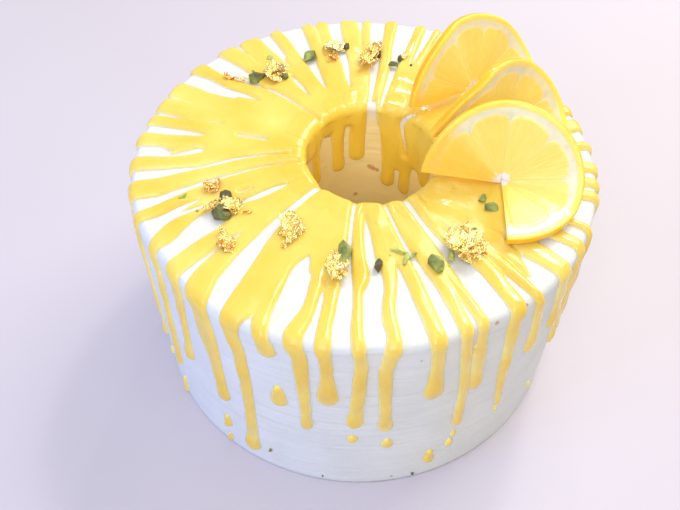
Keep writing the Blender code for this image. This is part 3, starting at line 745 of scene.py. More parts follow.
def sauce_meshes():
    """The sauce's upper side in two halves: the coat raised by the sauce's depth."""
    points, normals = sauce_grid()
    rows, columns = points.shape[:2]
    inside, crest, full = (field.reshape(rows, columns)
                           for field in sauce_field(points.reshape(-1, 3)))
    step = to_edge(points, inside)
    in_hole = from_middle(points, HOLE_MIDDLE) < HOLE_REACH
    rise = np.clip(inside / np.where(in_hole, HOLE_ROLL, EDGE_ROLL), 0, 1)
    profile = (1 - (1 - rise) ** 2) ** 0.66
    depth = SAUCE_DEPTH * full * profile * (0.80 + 0.24 * crest)
    swell = wobble(points.reshape(-1, 3), 14, 8).reshape(rows, columns)
    depth *= 1 + 0.10 * swell * rise
    # it is heaped against the front slice, along its cut and its left foot
    x, y = points[..., 0], points[..., 1]
    beside = FRONT_FOOT[0] - x
    cut_heap = np.exp(-(beside / np.where(beside > 0, 4.5, 1.2)) ** 2)
    cut_heap *= np.clip((y + 46) / 4, 0, 1) * np.clip((FRONT_FOOT[1] + 2 - y) / 3, 0, 1)
    before = FRONT_FOOT[1] + 1 - y
    foot_heap = np.exp(-(before / np.where(before > 0, 5.0, 2.0)) ** 2)
    foot_heap *= np.clip((x - 24) / 5, 0, 1) * np.clip((FRONT_FOOT[0] + 1 - x) / 3, 0, 1)
    heap = HEAP * np.maximum(cut_heap, 0.8 * foot_heap) * rise
    depth += np.where(points[..., 2] > CAKE_HEIGHT - 0.5, heap, 0)
    lift = depth - 0.25 * (1 - np.clip(inside / 0.5, 0, 1))
    outside = inside <= 0
    points = np.where(outside[..., None], points + step, points)
    points = (points + normals * lift[..., None]).reshape(-1, 3)
    quads = ring_faces(rows, columns)[:(rows - 1) * columns]
    back = bare_line(inside, *BACK_GAP)
    front = bare_line(inside, *FRONT_GAP)
    row, column = np.divmod(np.arange(len(quads)), columns)
    on_left = (column >= back[row]) & (column < front[row])
    covered = (~outside.ravel()[quads]).any(1)
    halves = []
    for name, chosen in (("lemon_sauce_left", on_left), ("lemon_sauce_right", ~on_left)):
        halves.append(sauce_half(name, points, quads[covered & chosen], inside, depth))
    return halves


def sauce_half(name, points, quads, inside, depth):
    """One half, with its depth stored, and all but the drips' edges marked middle."""
    used = np.unique(quads)
    renumber = np.full(len(points), -1)
    renumber[used] = np.arange(len(used))
    item = new_mesh(name, points[used], renumber[quads].tolist())
    thick = item.data.attributes.new("depth", "FLOAT", "POINT")
    thick.data.foreach_set("value", np.clip(depth.ravel()[used] / 2.0, 0, 1).astype(np.float32))
    on_wall = points[used, 2] < CAKE_HEIGHT - RIM_ROUND
    middle = np.nonzero(~on_wall | (inside.ravel()[used] > EDGE_KEPT))[0]
    item.vertex_groups.new(name="middle").add(middle.tolist(), 1.0, "REPLACE")
    return item


def read(add, label):
    """What the mesh has stored at each point under a name."""
    return add("ShaderNodeAttribute", attribute_name=label,
               attribute_type="GEOMETRY").outputs["Fac"]


def sauce_finish():
    finish, add, place = new_finish(
        "lemon_curd", Roughness=0.13, IOR=1.42, Subsurface_Weight=0.45,
        Subsurface_Radius=(1.0, 0.62, 0.12), Subsurface_Scale=0.0018,
        Coat_Weight=0.25, Coat_Roughness=0.05)
    swirl = maths(add, "MULTIPLY_ADD", noise(add, place, 42.0, 5.0), 1.2, -0.64)
    in_light = ramp(add, maths(add, "ADD", read(add, "depth"), swirl),
                    (0.0, (1.0, 0.80, 0.36)), (0.35, (0.95, 0.665, 0.15)),
                    (0.95, (0.88, 0.55, 0.07)))
    # painted orange shade and light cast through the lemon slices, deepening the sauce's colour
    # round their feet
    from_feet = distance(add, place, np.array((31.0, 12.0, CAKE_HEIGHT)))
    painted_slice_shade = between(add, from_feet, 26.0 * MM, 8.0 * MM, high=0.75)
    colour = mixed(add, painted_slice_shade, in_light, (1.0, 0.58, 0.06, 1.0))
    apart = add("ShaderNodeSeparateXYZ", ("Vector", place))
    flat = add("ShaderNodeCombineXYZ", ("X", apart.outputs["X"]), ("Y", apart.outputs["Y"]))
    # deeper and more orange inside the hole: partly thicker sauce, partly painted shade of the
    # hole
    from_hole = distance(add, flat, np.append(HOLE_MIDDLE, 0))
    in_hole = between(add, from_hole, HOLE_REACH * MM, HOLE_BASE * MM)
    colour = mixed(add, in_hole, colour, (1.0, 0.635, 0.075, 1.0))
    # ripples drawn out along the flow: round the axis, away from it, and down
    forward = maths(add, "MULTIPLY", apart.outputs["Y"], -1.0)
    azimuth = maths(add, "ARCTAN2", apart.outputs["X"], forward)
    outward = add("ShaderNodeVectorMath", (0, flat), operation="LENGTH")
    flow = add("ShaderNodeCombineXYZ", ("X", maths(add, "MULTIPLY", azimuth, 0.045)),
               ("Y", maths(add, "MULTIPLY", outward.outputs["Value"], 0.35)),
               ("Z", maths(add, "MULTIPLY", apart.outputs["Z"], 0.35)))
    return dress(finish, colour, relief(add, noise(add, flow, 330.0), 0.45, 0.5))


sauce_look = sauce_finish()
for half in sauce_meshes():
    thin = half.modifiers.new("Thin", "DECIMATE")
    thin.ratio = min(1.0, SAUCE_TRIANGLES / (2 * len(half.data.polygons)))
    thin.vertex_group = "middle"
    under = half.modifiers.new("Underside", "SOLIDIFY")
    under.thickness = SAUCE_WALL * MM
    under.offset = -1.0
    make_plain(half)
    half.data.set_sharp_from_angle(angle=math.radians(SHARP_EDGE))
    half.data.materials.append(sauce_look)
    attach(half, "root")
    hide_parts("cake")


# -------------------------------------------------------------- pistachio bits
# Chopped green pistachios, some with a piece of dark skin left on, pressed into
# the sauce while it was soft, and crumbs of them that fell beside and below.
# x, y, length, width, height, turn, and tone from dark skin (0) to pale kernel (1)
PISTACHIOS = (
    (-50.6, -25.2, 6.2, 4.8, 4.0, 20, 0.15), (-51.1, -33.2, 8.6, 6.2, 4.4, -50, 0.32),
    (-66.8, -25.8, 4.0, 1.1, 0.9, 10, 0.85), (-65.8, -24.4, 2.6, 1.0, 0.9, 60, 0.85),
    (-5.2, -50.4, 11.5, 5.6, 4.0, 85, 0.62), (6.5, -55.0, 5.6, 2.8, 2.4, 80, 0.12),
    (13.4, -48.6, 7.0, 1.5, 1.4, -20, 0.80), (16.2, -51.8, 7.5, 1.8, 1.5, 75, 0.85),
    (18.4, -50.2, 4.5, 1.3, 1.1, 35, 0.75), (26.6, -53.8, 7.8, 6.4, 4.4, 100, 0.60),
    (33.2, -40.6, 5.2, 4.2, 3.4, 150, 0.62), (32.0, -49.6, 5.0, 2.4, 2.0, 80, 0.95),
    (39.6, -39.2, 5.2, 3.6, 3.0, 10, 0.55), (45.0, -22.6, 4.2, 3.2, 3.0, 70, 0.55),
    (47.6, -27.2, 6.5, 4.6, 3.8, 140, 0.60), (-24.9, 60.6, 7.6, 4.8, 4.2, 25, 0.58),
    (-46.5, 45.1, 7.6, 4.8, 4.2, 10, 0.35), (-34.3, 46.6, 4.6, 3.0, 2.8, 120, 0.30),
    (-8.6, 68.5, 3.4, 2.8, 2.8, 60, 0.10), (5.7, 64.0, 3.6, 2.8, 3.0, 100, 0.10),
    (12.0, 56.9, 5.4, 2.4, 2.2, -15, 0.28), (15.2, 61.2, 3.8, 2.2, 2.6, 80, 0.15),
    (-42.1, 59.9, 4.6, 3.0, 1.0, 60, 1.00),
)
# Crumbs: angle, travel over the coat, size, tone
CRUMBS = (
    (-22, 173, 1.6, 0.4), (15.7, 184.2, 1.6, 0.2), (-8, 183.6, 0.9, 0.4),
    (160.7, 60.7, 1.3, 0.2), (-62, 68, 1.2, 0.5), (41, 60, 1.3, 0.8), (-136, 70, 1.4, 0.7),
    (-59, 52, 1.0, 0.4), (30, 62, 1.0, 0.9), (12, 51, 0.9, 0.9),
)


def bit_points():
    """For each bit its middle, size, turn and tone."""
    bits = []
    for x, y, long, wide, tall, turn, tone in PISTACHIOS:
        bits.append(((x, y, CAKE_HEIGHT + SAUCE_DEPTH + 0.16 * tall),
                     (1.12 * long, 1.12 * wide, 1.25 * tall),
                     (0.12, -0.1, math.radians(turn)), tone))
    for angle, travel, size, tone in CRUMBS:
        point, normal = coat(angle, travel)
        on_top = travel < TOP_RADIUS - RIM_ROUND
        bits.append((tuple(point + normal * (1.3 if on_top else 0.25 * size)),
                     (1.5 * size, size, 0.8 * size),
                     (0, 0 if on_top else 1.2, math.radians(angle * 7)), tone))
    return zip(*bits)


def stored(add, name, kind="FLOAT_VECTOR"):
    return add("GeometryNodeInputNamedAttribute", ("Name", name), data_type=kind)


def bits_tree(shapes=5):
    """One chopped bit on each point: the hull of a few corners, in several shapes."""
    tree, add, given = new_tree("chopped bits", Corners="Int", Roughness="Float",
                                Material="Material")
    kinds = add("GeometryNodeGeometryToInstance")
    for seed in range(shapes):
        corners = add("GeometryNodeMeshLine", ("Count", given.outputs["Corners"]))
        way = add("FunctionNodeRandomValue", (0, (-1.0, -1.0, -1.0)), (1, (1.0, 1.0, 1.0)),
                  ("Seed", seed + 3), data_type="FLOAT_VECTOR")
        outward = add("ShaderNodeVectorMath", (0, way), operation="NORMALIZE")
        half = add("ShaderNodeVectorMath", (0, outward), ("Scale", 0.5),
                   operation="SCALE")
        spread = add("GeometryNodeSetPosition", ("Geometry", corners),
                     ("Position", half))
        hull = add("GeometryNodeConvexHull", ("Geometry", spread))
        fine = add("GeometryNodeSubdivideMesh", ("Mesh", hull), ("Level", 2))
        tree.links.new(fine.outputs[0], kinds.inputs[0])
    turn = add("FunctionNodeEulerToRotation", ("Euler", stored(add, "turn")))
    place = add("GeometryNodeInstanceOnPoints", ("Points", given.outputs["Geometry"]),
                ("Instance", kinds), ("Pick Instance", True),
                ("Instance Index", add("GeometryNodeInputIndex")),
                ("Scale", stored(add, "size")), ("Rotation", turn))
    real = add("GeometryNodeRealizeInstances", ("Geometry", place))
    where = add("GeometryNodeInputPosition")
    grain = maths(add, "SUBTRACT", noise(add, where, 1100.0), 0.5)
    rough = maths(add, "MULTIPLY", grain, given.outputs["Roughness"])
    moved = add("GeometryNodeSetPosition", ("Geometry", real),
                ("Offset", along_normal(add, rough)))
    end_tree(add, given, moved)
    return tree


def points_object(name, centres, sizes, turns, tones):
    item = new_mesh(name, centres, [])
    for label, values in (("size", np.array(sizes) * MM), ("turn", np.array(turns))):
        store = item.data.attributes.new(label, "FLOAT_VECTOR", "POINT")
        store.data.foreach_set("vector", values.astype(np.float32).ravel())
    store = item.data.attributes.new("tone", "FLOAT", "POINT")
    store.data.foreach_set("value", np.array(tones, np.float32))
    return item


def pistachio_finish():
    finish, add, place = new_finish(
        "pistachio", Roughness=0.5, Subsurface_Weight=0.15,
        Subsurface_Radius=(0.5, 0.8, 0.2), Subsurface_Scale=0.001)
    patch = maths(add, "MULTIPLY_ADD", noise(add, place, 260.0, 3.0), 1.5, -0.75)
    colour = ramp(add, maths(add, "ADD", read(add, "tone"), patch),
                  (0.0, (0.090, 0.075, 0.030)), (0.3, (0.13, 0.135, 0.040)),
                  (0.6, (0.25, 0.29, 0.060)), (0.95, (0.50, 0.56, 0.13)))
    return dress(finish, colour, relief(add, noise(add, place, 1500.0, 3.0), 0.4, 0.2))


pistachio = points_object("pistachio_bits", *bit_points())
pistachio_look = pistachio_finish()
grow(pistachio, bits_tree(), Corners=15, Roughness=0.5 * MM, Material=pistachio_look)
pistachio.data.shade_flat()
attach(pistachio, "root")
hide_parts("cake")


# ------------------------------------------------------------------- gold leaf
# Flakes of edible gold leaf, laid on with tweezers: each is a crumple of a few
# torn sheets, so thin that they fold at every touch and catch the light.
# x, y, length, width, height, turn, sheets, and tone from red gold (0) to pale (1)
GOLD_LEAVES = (
    (-56.1, -21.0, 7.0, 6.5, 3.5, 0, 4, 0.3), (-56.0, -30.8, 6.0, 5.0, 3.0, 30, 3, 0.4),
    (-47.2, -29.8, 10.0, 8.0, 4.2, 20, 6, 0.6), (-41.6, -32.4, 4.0, 1.8, 1.8, -20, 2, 0.2),
    (-47.9, -46.4, 14.0, 3.8, 3.2, -61, 6, 0.4), (-24.9, -39.8, 11.0, 9.0, 4.2, 40, 6, 0.6),
    (-26.2, -46.0, 6.5, 2.6, 2.2, 75, 3, 0.7), (-8.4, -57.4, 10.5, 8.0, 4.2, 80, 6, 0.6),
    (37.2, -45.4, 15.0, 11.0, 5.2, 130, 9, 0.7), (49.8, -27.6, 3.6, 2.8, 2.2, 0, 2, 0.2),
    (-38.3, 49.5, 11.5, 9.5, 4.6, 60, 7, 0.6), (-56.5, 44.8, 11.0, 2.8, 2.2, -15, 4, 0.1),
    (-13.5, 68.0, 9.5, 7.0, 3.8, 20, 5, 0.9), (-14.4, 60.2, 5.0, 4.6, 3.0, 0, 3, 0.1),
    (1.6, 60.4, 21.0, 6.5, 4.4, 66, 9, 0.5), (17.4, 62.8, 3.4, 2.8, 2.4, 0, 2, 0.7),
)
FOIL = 0.06


def leaf_points():
    """For each torn sheet its middle, size, turn and tone."""
    rng = random.Random(12)
    sheets = []
    for x, y, long, wide, tall, turn, count, tone in GOLD_LEAVES:
        lie = math.radians(turn)
        for _ in range(count):
            along = rng.uniform(-0.30, 0.30) * long
            across = rng.uniform(-0.22, 0.22) * wide
            span = rng.uniform(0.7, 1.0)
            sheets.append((
                (x + along * math.cos(lie) - across * math.sin(lie),
                 y + along * math.sin(lie) + across * math.cos(lie),
                 CAKE_HEIGHT + SAUCE_DEPTH + rng.uniform(0.10, 0.55) * tall),
                (span * (0.45 * long + 0.45 * wide), span * wide, tall),
                (rng.uniform(-0.55, 0.55), rng.uniform(-0.55, 0.55),
                 lie + rng.uniform(-0.6, 0.6)),
                tone,
            ))
    return zip(*sheets)


def leaf_tree():
    """A torn sheet on each point, crumpled by sharp folds and given its thickness."""
    tree, add, given = new_tree("gold leaf", Cuts="Int", Fold="Float", Foil="Float",
                                Material="Material")
    sheet = add("GeometryNodeMeshGrid", ("Size X", 1.0), ("Size Y", 1.0),
                ("Vertices X", given.outputs["Cuts"]), ("Vertices Y", given.outputs["Cuts"]))
    where = add("GeometryNodeInputPosition")
    reach = add("ShaderNodeVectorMath", (0, where), operation="LENGTH")
    marked = add("GeometryNodeStoreNamedAttribute", ("Geometry", sheet.outputs["Mesh"]),
                 ("Name", "from_middle"), ("Value", reach.outputs["Value"]),
                 data_type="FLOAT", domain="POINT")
    turn = add("FunctionNodeEulerToRotation", ("Euler", stored(add, "turn")))
    place = add("GeometryNodeInstanceOnPoints", ("Points", given.outputs["Geometry"]),
                ("Instance", marked), ("Scale", stored(add, "size")),
                ("Rotation", turn))
    real = add("GeometryNodeRealizeInstances", ("Geometry", place))
    limit = maths(add, "MULTIPLY_ADD", noise(add, where, 420.0), 0.60, 0.17)
    beyond = add("FunctionNodeCompare", (0, stored(add, "from_middle", "FLOAT")), (1, limit),
                 data_type="FLOAT", operation="GREATER_THAN")
    torn = add("GeometryNodeDeleteGeometry", ("Geometry", real),
               ("Selection", beyond), domain="FACE")
    # each fold goes its own way: a fine crumple on top of sharp-edged cells
    fine = add("ShaderNodeTexNoise", ("Vector", where), ("Scale", 900.0), ("Detail", 2.0))
    coarse = add("ShaderNodeTexVoronoi", ("Vector", where), ("Scale", 520.0))
    ways = [add("ShaderNodeVectorMath", (0, pattern.outputs["Color"]), (1, (0.5, 0.5, 0.5)),
                operation="SUBTRACT") for pattern in (fine, coarse)]
    both = add("ShaderNodeVectorMath", *enumerate(ways), operation="ADD")
    push = add("ShaderNodeVectorMath", (0, both), ("Scale", given.outputs["Fold"]),
               operation="SCALE")
    folded = add("GeometryNodeSetPosition", ("Geometry", torn),
                 ("Offset", push))
    thick = add("GeometryNodeExtrudeMesh", ("Mesh", folded),
                ("Offset Scale", given.outputs["Foil"]), ("Individual", False), mode="FACES")
    back = add("GeometryNodeFlipFaces", ("Mesh", folded))
    closed = add("GeometryNodeJoinGeometry")
    tree.links.new(thick.outputs["Mesh"], closed.inputs[0])
    tree.links.new(back.outputs["Mesh"], closed.inputs[0])
    sealed = add("GeometryNodeMergeByDistance", ("Geometry", closed),
                 ("Distance", 0.000002))
    end_tree(add, given, sealed)
    return tree


def gold_finish():
    finish, add, place = new_finish("gold_leaf", Metallic=0.9, Roughness=0.22)
    patch = maths(add, "MULTIPLY_ADD", noise(add, place, 700.0), 1.8, -0.9)
    colour = ramp(add, maths(add, "ADD", read(add, "tone"), patch),
                  (0.0, (1.0, 0.50, 0.15)), (0.3, (1.0, 0.64, 0.22)),
                  (0.65, (1.0, 0.80, 0.30)), (1.0, (1.0, 0.90, 0.54)))
    crinkle = add("ShaderNodeTexVoronoi", ("Vector", place), ("Scale", 2400.0))
    return dress(finish, colour, relief(add, crinkle.outputs["Distance"], 0.8, 0.2))


gold = points_object("gold_leaf", *leaf_points())
gold_look = gold_finish()
grow(gold, leaf_tree(), Cuts=15, Fold=1.3 * MM, Foil=FOIL * MM, Material=gold_look)
gold.data.shade_flat()
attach(gold, "root")
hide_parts("cake")


# ---------------------------------------------------------------- lemon slices
# Fresh lemon, sliced across, cut once to the middle and twisted so that it stands
# up on its own: rind, white pith, thin walls between the segments, and in each of
# them juice sacs that point at the middle. Each stands for its own solid.
SLICE_RADIUS = 30.0
SLICE_THICK = 3.4
RIND = 2.3
PITH = 3.3
FLESH_RADIUS = SLICE_RADIUS - RIND - PITH
FLESH_SWELL = 1.2             # a segment's outer end is round by this much
FLESH_CORNER = 2.6            # and its corners fall back by this much
SEGMENT_TURN = 40.0
SLICE_STEPS = 300
SLICE_RINGS = 44
# Each slice: its middle, where its first wall lies, how much of its foot the sauce
# covers, and the way that the fan turns as (bearing, rise) of its spokes
SLICES = {
    "lemon_slice_front": (
        (51.7, -15.0, 104.3), -9, 47,
        ((176, 5), (174, 20), (172.5, 27), (166, 36), (153, 47), (128, 57), (88, 60),
         (48, 57), (20, 46), (2, 30), (-12, 14), (-28, 2), (-55, 0), (-91, 0)),
    ),
    "lemon_slice_middle": (
        (50.0, 13.0, 104.3), 16, 16,
        ((209, 18), (213, 35), (216, 51), (219, 68), (120, 86), (52, 66),
         (43, 50), (32, 36), (22, 22), (9, 10), (-8, 2), (-27, 0), (-45, 0)),
    ),
    "lemon_slice_back": (
        (44.1, 39.1, 104.3), 10.8, 20,
        ((212, 3), (209.5, 20), (207, 33), (202.5, 47), (187, 62), (140, 70),
         (84, 64), (57, 51), (46, 31), (36, 16), (22, 5), (6, 0), (-8, 0)),
    ),
}


def bearing(degrees, rise):
    turn = math.radians(degrees)
    lift = math.radians(rise)
    flat = math.cos(lift)
    return np.array((flat * math.cos(turn), flat * math.sin(turn), math.sin(lift)))


def smooth_fan(guides, count):
    """Even fan of unit directions through the guides, and its whole turn."""
    keys = np.array([bearing(*guide) for guide in guides])
    gaps = np.sqrt(np.linalg.norm(np.diff(keys, axis=0), axis=1))
    slopes = np.empty_like(keys)
    steep = np.diff(keys, axis=0) / gaps[:, None]
    slopes[0] = steep[0]
    slopes[-1] = steep[-1]
    for i in range(1, len(keys) - 1):
        whole = gaps[i - 1] + gaps[i]
        slopes[i] = (steep[i - 1] * gaps[i] + steep[i] * gaps[i - 1]) / whole
    fine = []
    for i, gap in enumerate(gaps):
        for u in np.arange(24) / 24:
            fine.append(keys[i] * (2 * u ** 3 - 3 * u ** 2 + 1)
                        + slopes[i] * gap * (u ** 3 - 2 * u ** 2 + u)
                        + keys[i + 1] * (3 * u ** 2 - 2 * u ** 3)
                        + slopes[i + 1] * gap * (u ** 3 - u ** 2))
    fine.append(keys[-1])
    fine = np.array(fine)
    fine /= np.linalg.norm(fine, axis=1)[:, None]
    lengths = np.concatenate(([0], np.cumsum(np.linalg.norm(np.diff(fine, axis=0), axis=1))))
    even = np.linspace(0, lengths[-1], count + 1)
    fan = np.stack([np.interp(even, lengths, fine[:, k]) for k in range(3)], -1)
    return fan / np.linalg.norm(fan, axis=1)[:, None], math.degrees(lengths[-1])


def flesh_edge(place):
    """Outer radius of the flesh at a place across a segment, 0 to 1: round ends."""
    across = np.abs(2 * place - 1)
    return FLESH_RADIUS + FLESH_SWELL * (1 - across ** 2) - FLESH_CORNER * across ** 9


def slice_relief(turn, radius, phase):
    """Height of the cut face: full flesh, sunk walls and a firm flat pith."""
    place = ((turn + phase) / SEGMENT_TURN) % 1
    wall = np.minimum(place, 1 - place) * np.radians(SEGMENT_TURN) * radius
    flesh = np.clip((flesh_edge(place) - radius) / 0.8, 0, 1)
    flesh = flesh * np.clip((radius - 2.6) / 1.0, 0, 1) * np.clip(wall / 0.5, 0, 1)
    return -0.16 + 0.16 * flesh


def lemon_slice(name, middle, phase, covered, guides, finish):
    """A slice's fan of spokes, closed at the hub and at both ends of the cut."""
    fan, whole = smooth_fan(guides, SLICE_STEPS)
    turn = np.linspace(0, whole, SLICE_STEPS + 1)
    along = np.gradient(fan, axis=0)
    face = np.cross(along, fan)
    face /= np.linalg.norm(face, axis=1)[:, None]
    radii = np.concatenate((np.linspace(0.4, SLICE_RADIUS - 0.7, SLICE_RINGS - 4),
                            SLICE_RADIUS - np.array((0.38, 0.16, 0.03))))
    round_off = np.concatenate((np.ones(SLICE_RINGS - 4), (0.93, 0.80, 0.60)))
    half = SLICE_THICK / 2
    height = slice_relief(turn[:, None], radii[None, :], phase)
    # around one spoke: out along the upper face, over the peel, back underneath
    middle_layer = fan[:, None] * radii[None, :, None]
    raised = face[:, None] * (half * round_off + height)[..., None]
    upper = middle_layer + raised
    lower = middle_layer - raised
    peel = np.array((0.4, -0.4))[None, :, None]
    rim = fan[:, None] * SLICE_RADIUS + face[:, None] * peel * half
    spokes = np.concatenate((upper, rim, lower[:, ::-1]), axis=1) + np.array(middle)
    reach = np.concatenate((radii, (SLICE_RADIUS, SLICE_RADIUS), radii[::-1]))
    side = np.concatenate((np.ones(len(radii)), (0.5, 0.5), np.zeros(len(radii))))
    count = spokes.shape[1]
    index = np.arange((SLICE_STEPS + 1) * count).reshape(SLICE_STEPS + 1, count)
    quads = np.stack((index[:-1, :-1], index[:-1, 1:], index[1:, 1:], index[1:, :-1]), -1)
    faces = quads.reshape(-1, 4).tolist()
    hub = np.stack((index[:-1, -1], index[:-1, 0], index[1:, 0], index[1:, -1]), -1)
    faces += hub.tolist()
    for i in (0, SLICE_STEPS):
        strip = index[i]
        for k in range(count // 2 - 1):
            a, b = strip[k], strip[k + 1]
            c, d = strip[count - 2 - k], strip[count - 1 - k]
            faces.append((a, b, c, d))
    item = new_mesh(name + "_fruit", spokes.reshape(-1, 3), faces)
    shape = bmesh.new()
    shape.from_mesh(item.data)
    bmesh.ops.recalc_face_normals(shape, faces=shape.faces)
    shape.to_mesh(item.data)
    shape.free()
    # sauce has run over the foot of each slice, and against its other cut
    film = np.clip((covered - turn) / 16, 0, 1)[:, None] * np.ones(count)
    last = np.clip(1 - (whole - turn) / 26, 0, 1)[:, None] * np.clip((26 - reach) / 4, 0, 1)
    for label, values in (
        ("film", np.maximum(film, last) * np.clip((reach - 1) / 5, 0, 1)),
        ("turn", np.repeat(((turn + phase) / SEGMENT_TURN)[:, None], count, 1)),
        ("reach", np.repeat(reach[None, :], SLICE_STEPS + 1, 0)),
        ("upper", np.repeat(side[None, :], SLICE_STEPS + 1, 0)),
    ):
        store = item.data.attributes.new(label, "FLOAT", "POINT")
        store.data.foreach_set("value", values.astype(np.float32).ravel())
    item.data.set_sharp_from_angle(angle=math.radians(60))
    item.data.materials.append(finish)
    return item


def lemon_finish():
    finish, add, place = new_finish(
        "lemon_fruit", Roughness=0.24, IOR=1.38, Subsurface_Weight=0.6,
        Subsurface_Radius=(1.0, 0.65, 0.2), Subsurface_Scale=0.003,
        Coat_Weight=0.3, Coat_Roughness=0.08)
    calc = partial(maths, add)
    turn = read(add, "turn")
    reach = read(add, "reach")
    wavy = noise(add, place, 260.0, 3.0)
    wave = calc("SUBTRACT", wavy, 0.5)
    across = calc("SUBTRACT", calc("MULTIPLY", calc("FRACT", turn), 2.0), 1.0)
    across = calc("ABSOLUTE", across)
    # distance from the wall between two segments, in mm
    wall = calc("MULTIPLY", calc("SUBTRACT", 1.0, across),
                calc("MULTIPLY", reach, math.radians(SEGMENT_TURN) / 2))
    ends = calc("MULTIPLY_ADD", calc("POWER", across, 2.0), -FLESH_SWELL,
                FLESH_RADIUS + FLESH_SWELL)
    ends = calc("MULTIPLY_ADD", calc("POWER", across, 9.0), -FLESH_CORNER, ends)
    ends = calc("MULTIPLY_ADD", wave, 1.6, ends)
    in_flesh = calc("MULTIPLY_ADD", calc("SUBTRACT", ends, reach), 0.9, 0.3, clamp=True)
    off_wall = calc("MULTIPLY_ADD", calc("MULTIPLY_ADD", wave, 0.5, wall), 2.6, -0.15,
                    clamp=True)
    off_hub = calc("SUBTRACT", calc("MULTIPLY_ADD", wave, 6.0, reach), 3.2, clamp=True)
    flesh = calc("MULTIPLY", calc("MULTIPLY_ADD", off_wall, 0.20, 0.80), off_hub)
    flesh = calc("MULTIPLY", in_flesh, flesh)
    # juice sacs: long drops across the turn and along the reach
    sacs = add("ShaderNodeCombineXYZ", ("X", calc("MULTIPLY", turn, 15.0)),
               ("Y", calc("MULTIPLY", reach, 0.16)),
               ("Z", calc("MULTIPLY", read(add, "upper"), 7.0)))
    drops = add("ShaderNodeTexVoronoi", ("Vector", sacs), ("Scale", 1.0),
                feature="SMOOTH_F1").outputs["Distance"]
    tone = calc("MULTIPLY_ADD", noise(add, sacs, 2.6, 4.0), 0.6, calc("MULTIPLY", drops, 0.55))
    flesh_colour = ramp(add, tone, (0.25, (1.0, 0.72, 0.14)), (0.50, (1.0, 0.75, 0.165)),
                        (0.80, (1.0, 0.79, 0.21)))
    pith_colour = ramp(add, wavy, (0.35, (0.78, 0.73, 0.45)), (0.65, (0.86, 0.81, 0.58)))
    at_hub = calc("SUBTRACT", 4.6, calc("MULTIPLY_ADD", wave, 7.0, reach), clamp=True)
    pale = mixed(add, at_hub, pith_colour, (0.98, 0.84, 0.72, 1.0))
    rind_edge = calc("MULTIPLY_ADD", wave, 0.5, calc("SUBTRACT", reach, SLICE_RADIUS - RIND))
    in_rind = calc("MULTIPLY_ADD", rind_edge, 2.2, 0.5, clamp=True)
    skin_colour = ramp(add, calc("SUBTRACT", reach, SLICE_RADIUS - 1.0),
                       (0.0, (1.0, 0.77, 0.15)), (0.75, (1.0, 0.71, 0.08)),
                       (0.98, (1.0, 0.50, 0.02)))
    fruit = mixed(add, in_rind, mixed(add, flesh, pale, flesh_colour), skin_colour)
    film = calc("MULTIPLY_ADD", wave, 0.5, read(add, "film"), clamp=True)
    colour = mixed(add, calc("MULTIPLY", film, 0.95), fruit, (1.0, 0.63, 0.08, 1.0))
    pores = add("ShaderNodeTexVoronoi", ("Vector", place), ("Scale", 900.0))
    pitted = calc("MULTIPLY", in_rind, pores.outputs["Distance"])
    height = calc("ADD", calc("MULTIPLY", flesh, drops), pitted)
    return dress(finish, colour, relief(add, height, 0.22, 0.5))


lemon_look = lemon_finish()
for name, (middle, phase, covered, guides) in SLICES.items():
    fruit = lemon_slice(name, middle, phase, covered, guides, lemon_look)
    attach(fruit, "root")
    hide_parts(name)


# ------------------------------------------------------- table, light and camera
# A plain pale table. A broad window behind on the right and a sheet of light
# overhead, a pale reflector in front, blue sky from the left, and two small lamps
# behind that glint on the sauce.
TABLE_SIZE = 4.0
LENS_PIXELS = 750.0            # focal length, for a view of 680 by 510
VIEW_WIDTH = 680
SENSOR = 36.0
CAMERA_AWAY = 296.9            # from the middle of the cake's top
CAMERA_RISE = 0.764
CAMERA_YAW = -0.042
CAMERA_PITCH = 0.130
CAMERA_ROLL = -0.003


def table_finish():
    finish, add, place = new_finish("pale_table", Roughness=0.6)
    tint = ramp(add, noise(add, place, 3.0), (0.3, (0.57, 0.52, 0.56)),
                (0.7, (0.60, 0.55, 0.59)))
    return dress(finish, tint, None)


def soft_light(name, place, target, size, power, colour):
    lamp = bpy.data.lights.new(name, "AREA")
    lamp.shape = "RECTANGLE"
    lamp.size, lamp.size_y = size
    lamp.energy = power
    lamp.color = colour
    item = bpy.data.objects.new(name, lamp)
    item.location = place
    item.rotation_euler = (Vector(target) - Vector(place)).to_track_quat("-Z", "Y").to_euler()
    bpy.context.scene.collection.objects.link(item)


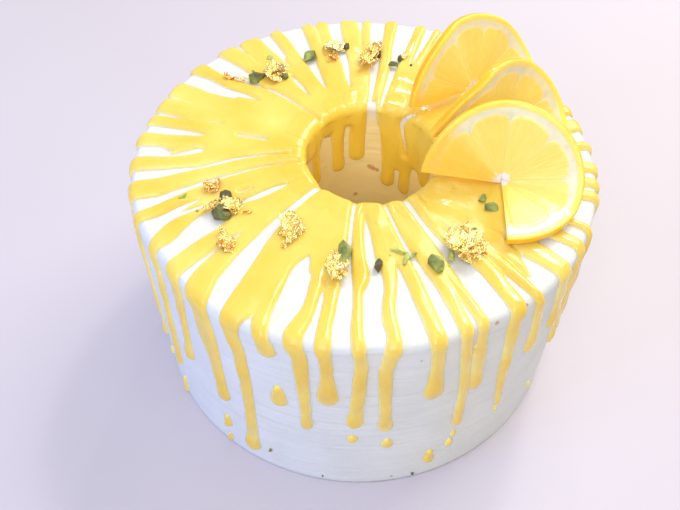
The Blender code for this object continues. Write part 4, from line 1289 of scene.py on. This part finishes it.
def front_camera():
    """Camera above the front, aimed by its own tilt from the line to the cake."""
    dive = CAMERA_RISE + CAMERA_PITCH
    place = Vector((0, -CAMERA_AWAY * math.cos(CAMERA_RISE),
                    CAKE_HEIGHT + CAMERA_AWAY * math.sin(CAMERA_RISE)))
    ahead = Vector((math.sin(CAMERA_YAW) * math.cos(dive),
                    math.cos(CAMERA_YAW) * math.cos(dive), -math.sin(dive)))
    right = ahead.cross(Vector((0, 0, 1))).normalized()
    up = right.cross(ahead)
    turned_right = right * math.cos(CAMERA_ROLL) + up * math.sin(CAMERA_ROLL)
    turned_up = up * math.cos(CAMERA_ROLL) - right * math.sin(CAMERA_ROLL)
    lens = bpy.data.cameras.new("camera")
    lens.sensor_width = SENSOR
    lens.lens = LENS_PIXELS * SENSOR / VIEW_WIDTH
    lens.clip_start = 0.01
    item = bpy.data.objects.new("camera", lens)
    matrix = item.matrix_world.copy()
    for row in range(3):
        matrix[row] = (turned_right[row], turned_up[row], -ahead[row],
                       (place[row] + CAKE_AXIS[row]) * MM)
    item.matrix_world = matrix
    bpy.context.scene.collection.objects.link(item)
    bpy.context.scene.camera = item


edge = TABLE_SIZE / 2
table = bpy.data.meshes.new("table")
table.from_pydata([(-edge, -edge, 0), (edge, -edge, 0), (edge, edge, 0), (-edge, edge, 0)],
                  [], [(0, 1, 2, 3)])
table_top = bpy.data.objects.new("table", table)
bpy.context.scene.collection.objects.link(table_top)
table.materials.append(table_finish())

world = bpy.data.worlds.new("pale room")
bpy.context.scene.world = world
world.use_nodes = True
background = world.node_tree.nodes["Background"]
background.inputs["Color"].default_value = (0.97, 0.98, 1.0, 1.0)
background.inputs["Strength"].default_value = 0.50
soft_light("window", (0.5, 0.6, 0.8), (0, 0, 0.08), (0.7, 0.7), 7.5, (1.0, 0.97, 0.92))
soft_light("lamp", (0.30, 0.55, 0.95), (0, 0, 0.1), (0.09, 0.09), 1.5, (1.0, 0.98, 0.95))
soft_light("overhead", (-0.1, -0.1, 1.4), (0, 0, 0.05), (1.0, 1.0), 3.5, (1.0, 0.99, 0.97))
soft_light("reflector", (-0.12, -0.95, 1.05), (0, 0, 0.08), (0.9, 0.9), 8.5, (1.0, 0.98, 0.94))
soft_light("sky", (-0.85, -0.50, 0.38), (0, 0, 0.06), (0.5, 0.3), 5.5, (0.12, 0.30, 1.0))
bpy.data.objects["sky"].visible_glossy = False
soft_light("glint", (0.08, 0.80, 0.80), (0, 0, 0.1), (0.05, 0.05), 0.6, (1.0, 0.98, 0.95))
front_camera()
bpy.context.scene.view_settings.view_transform = "Standard"
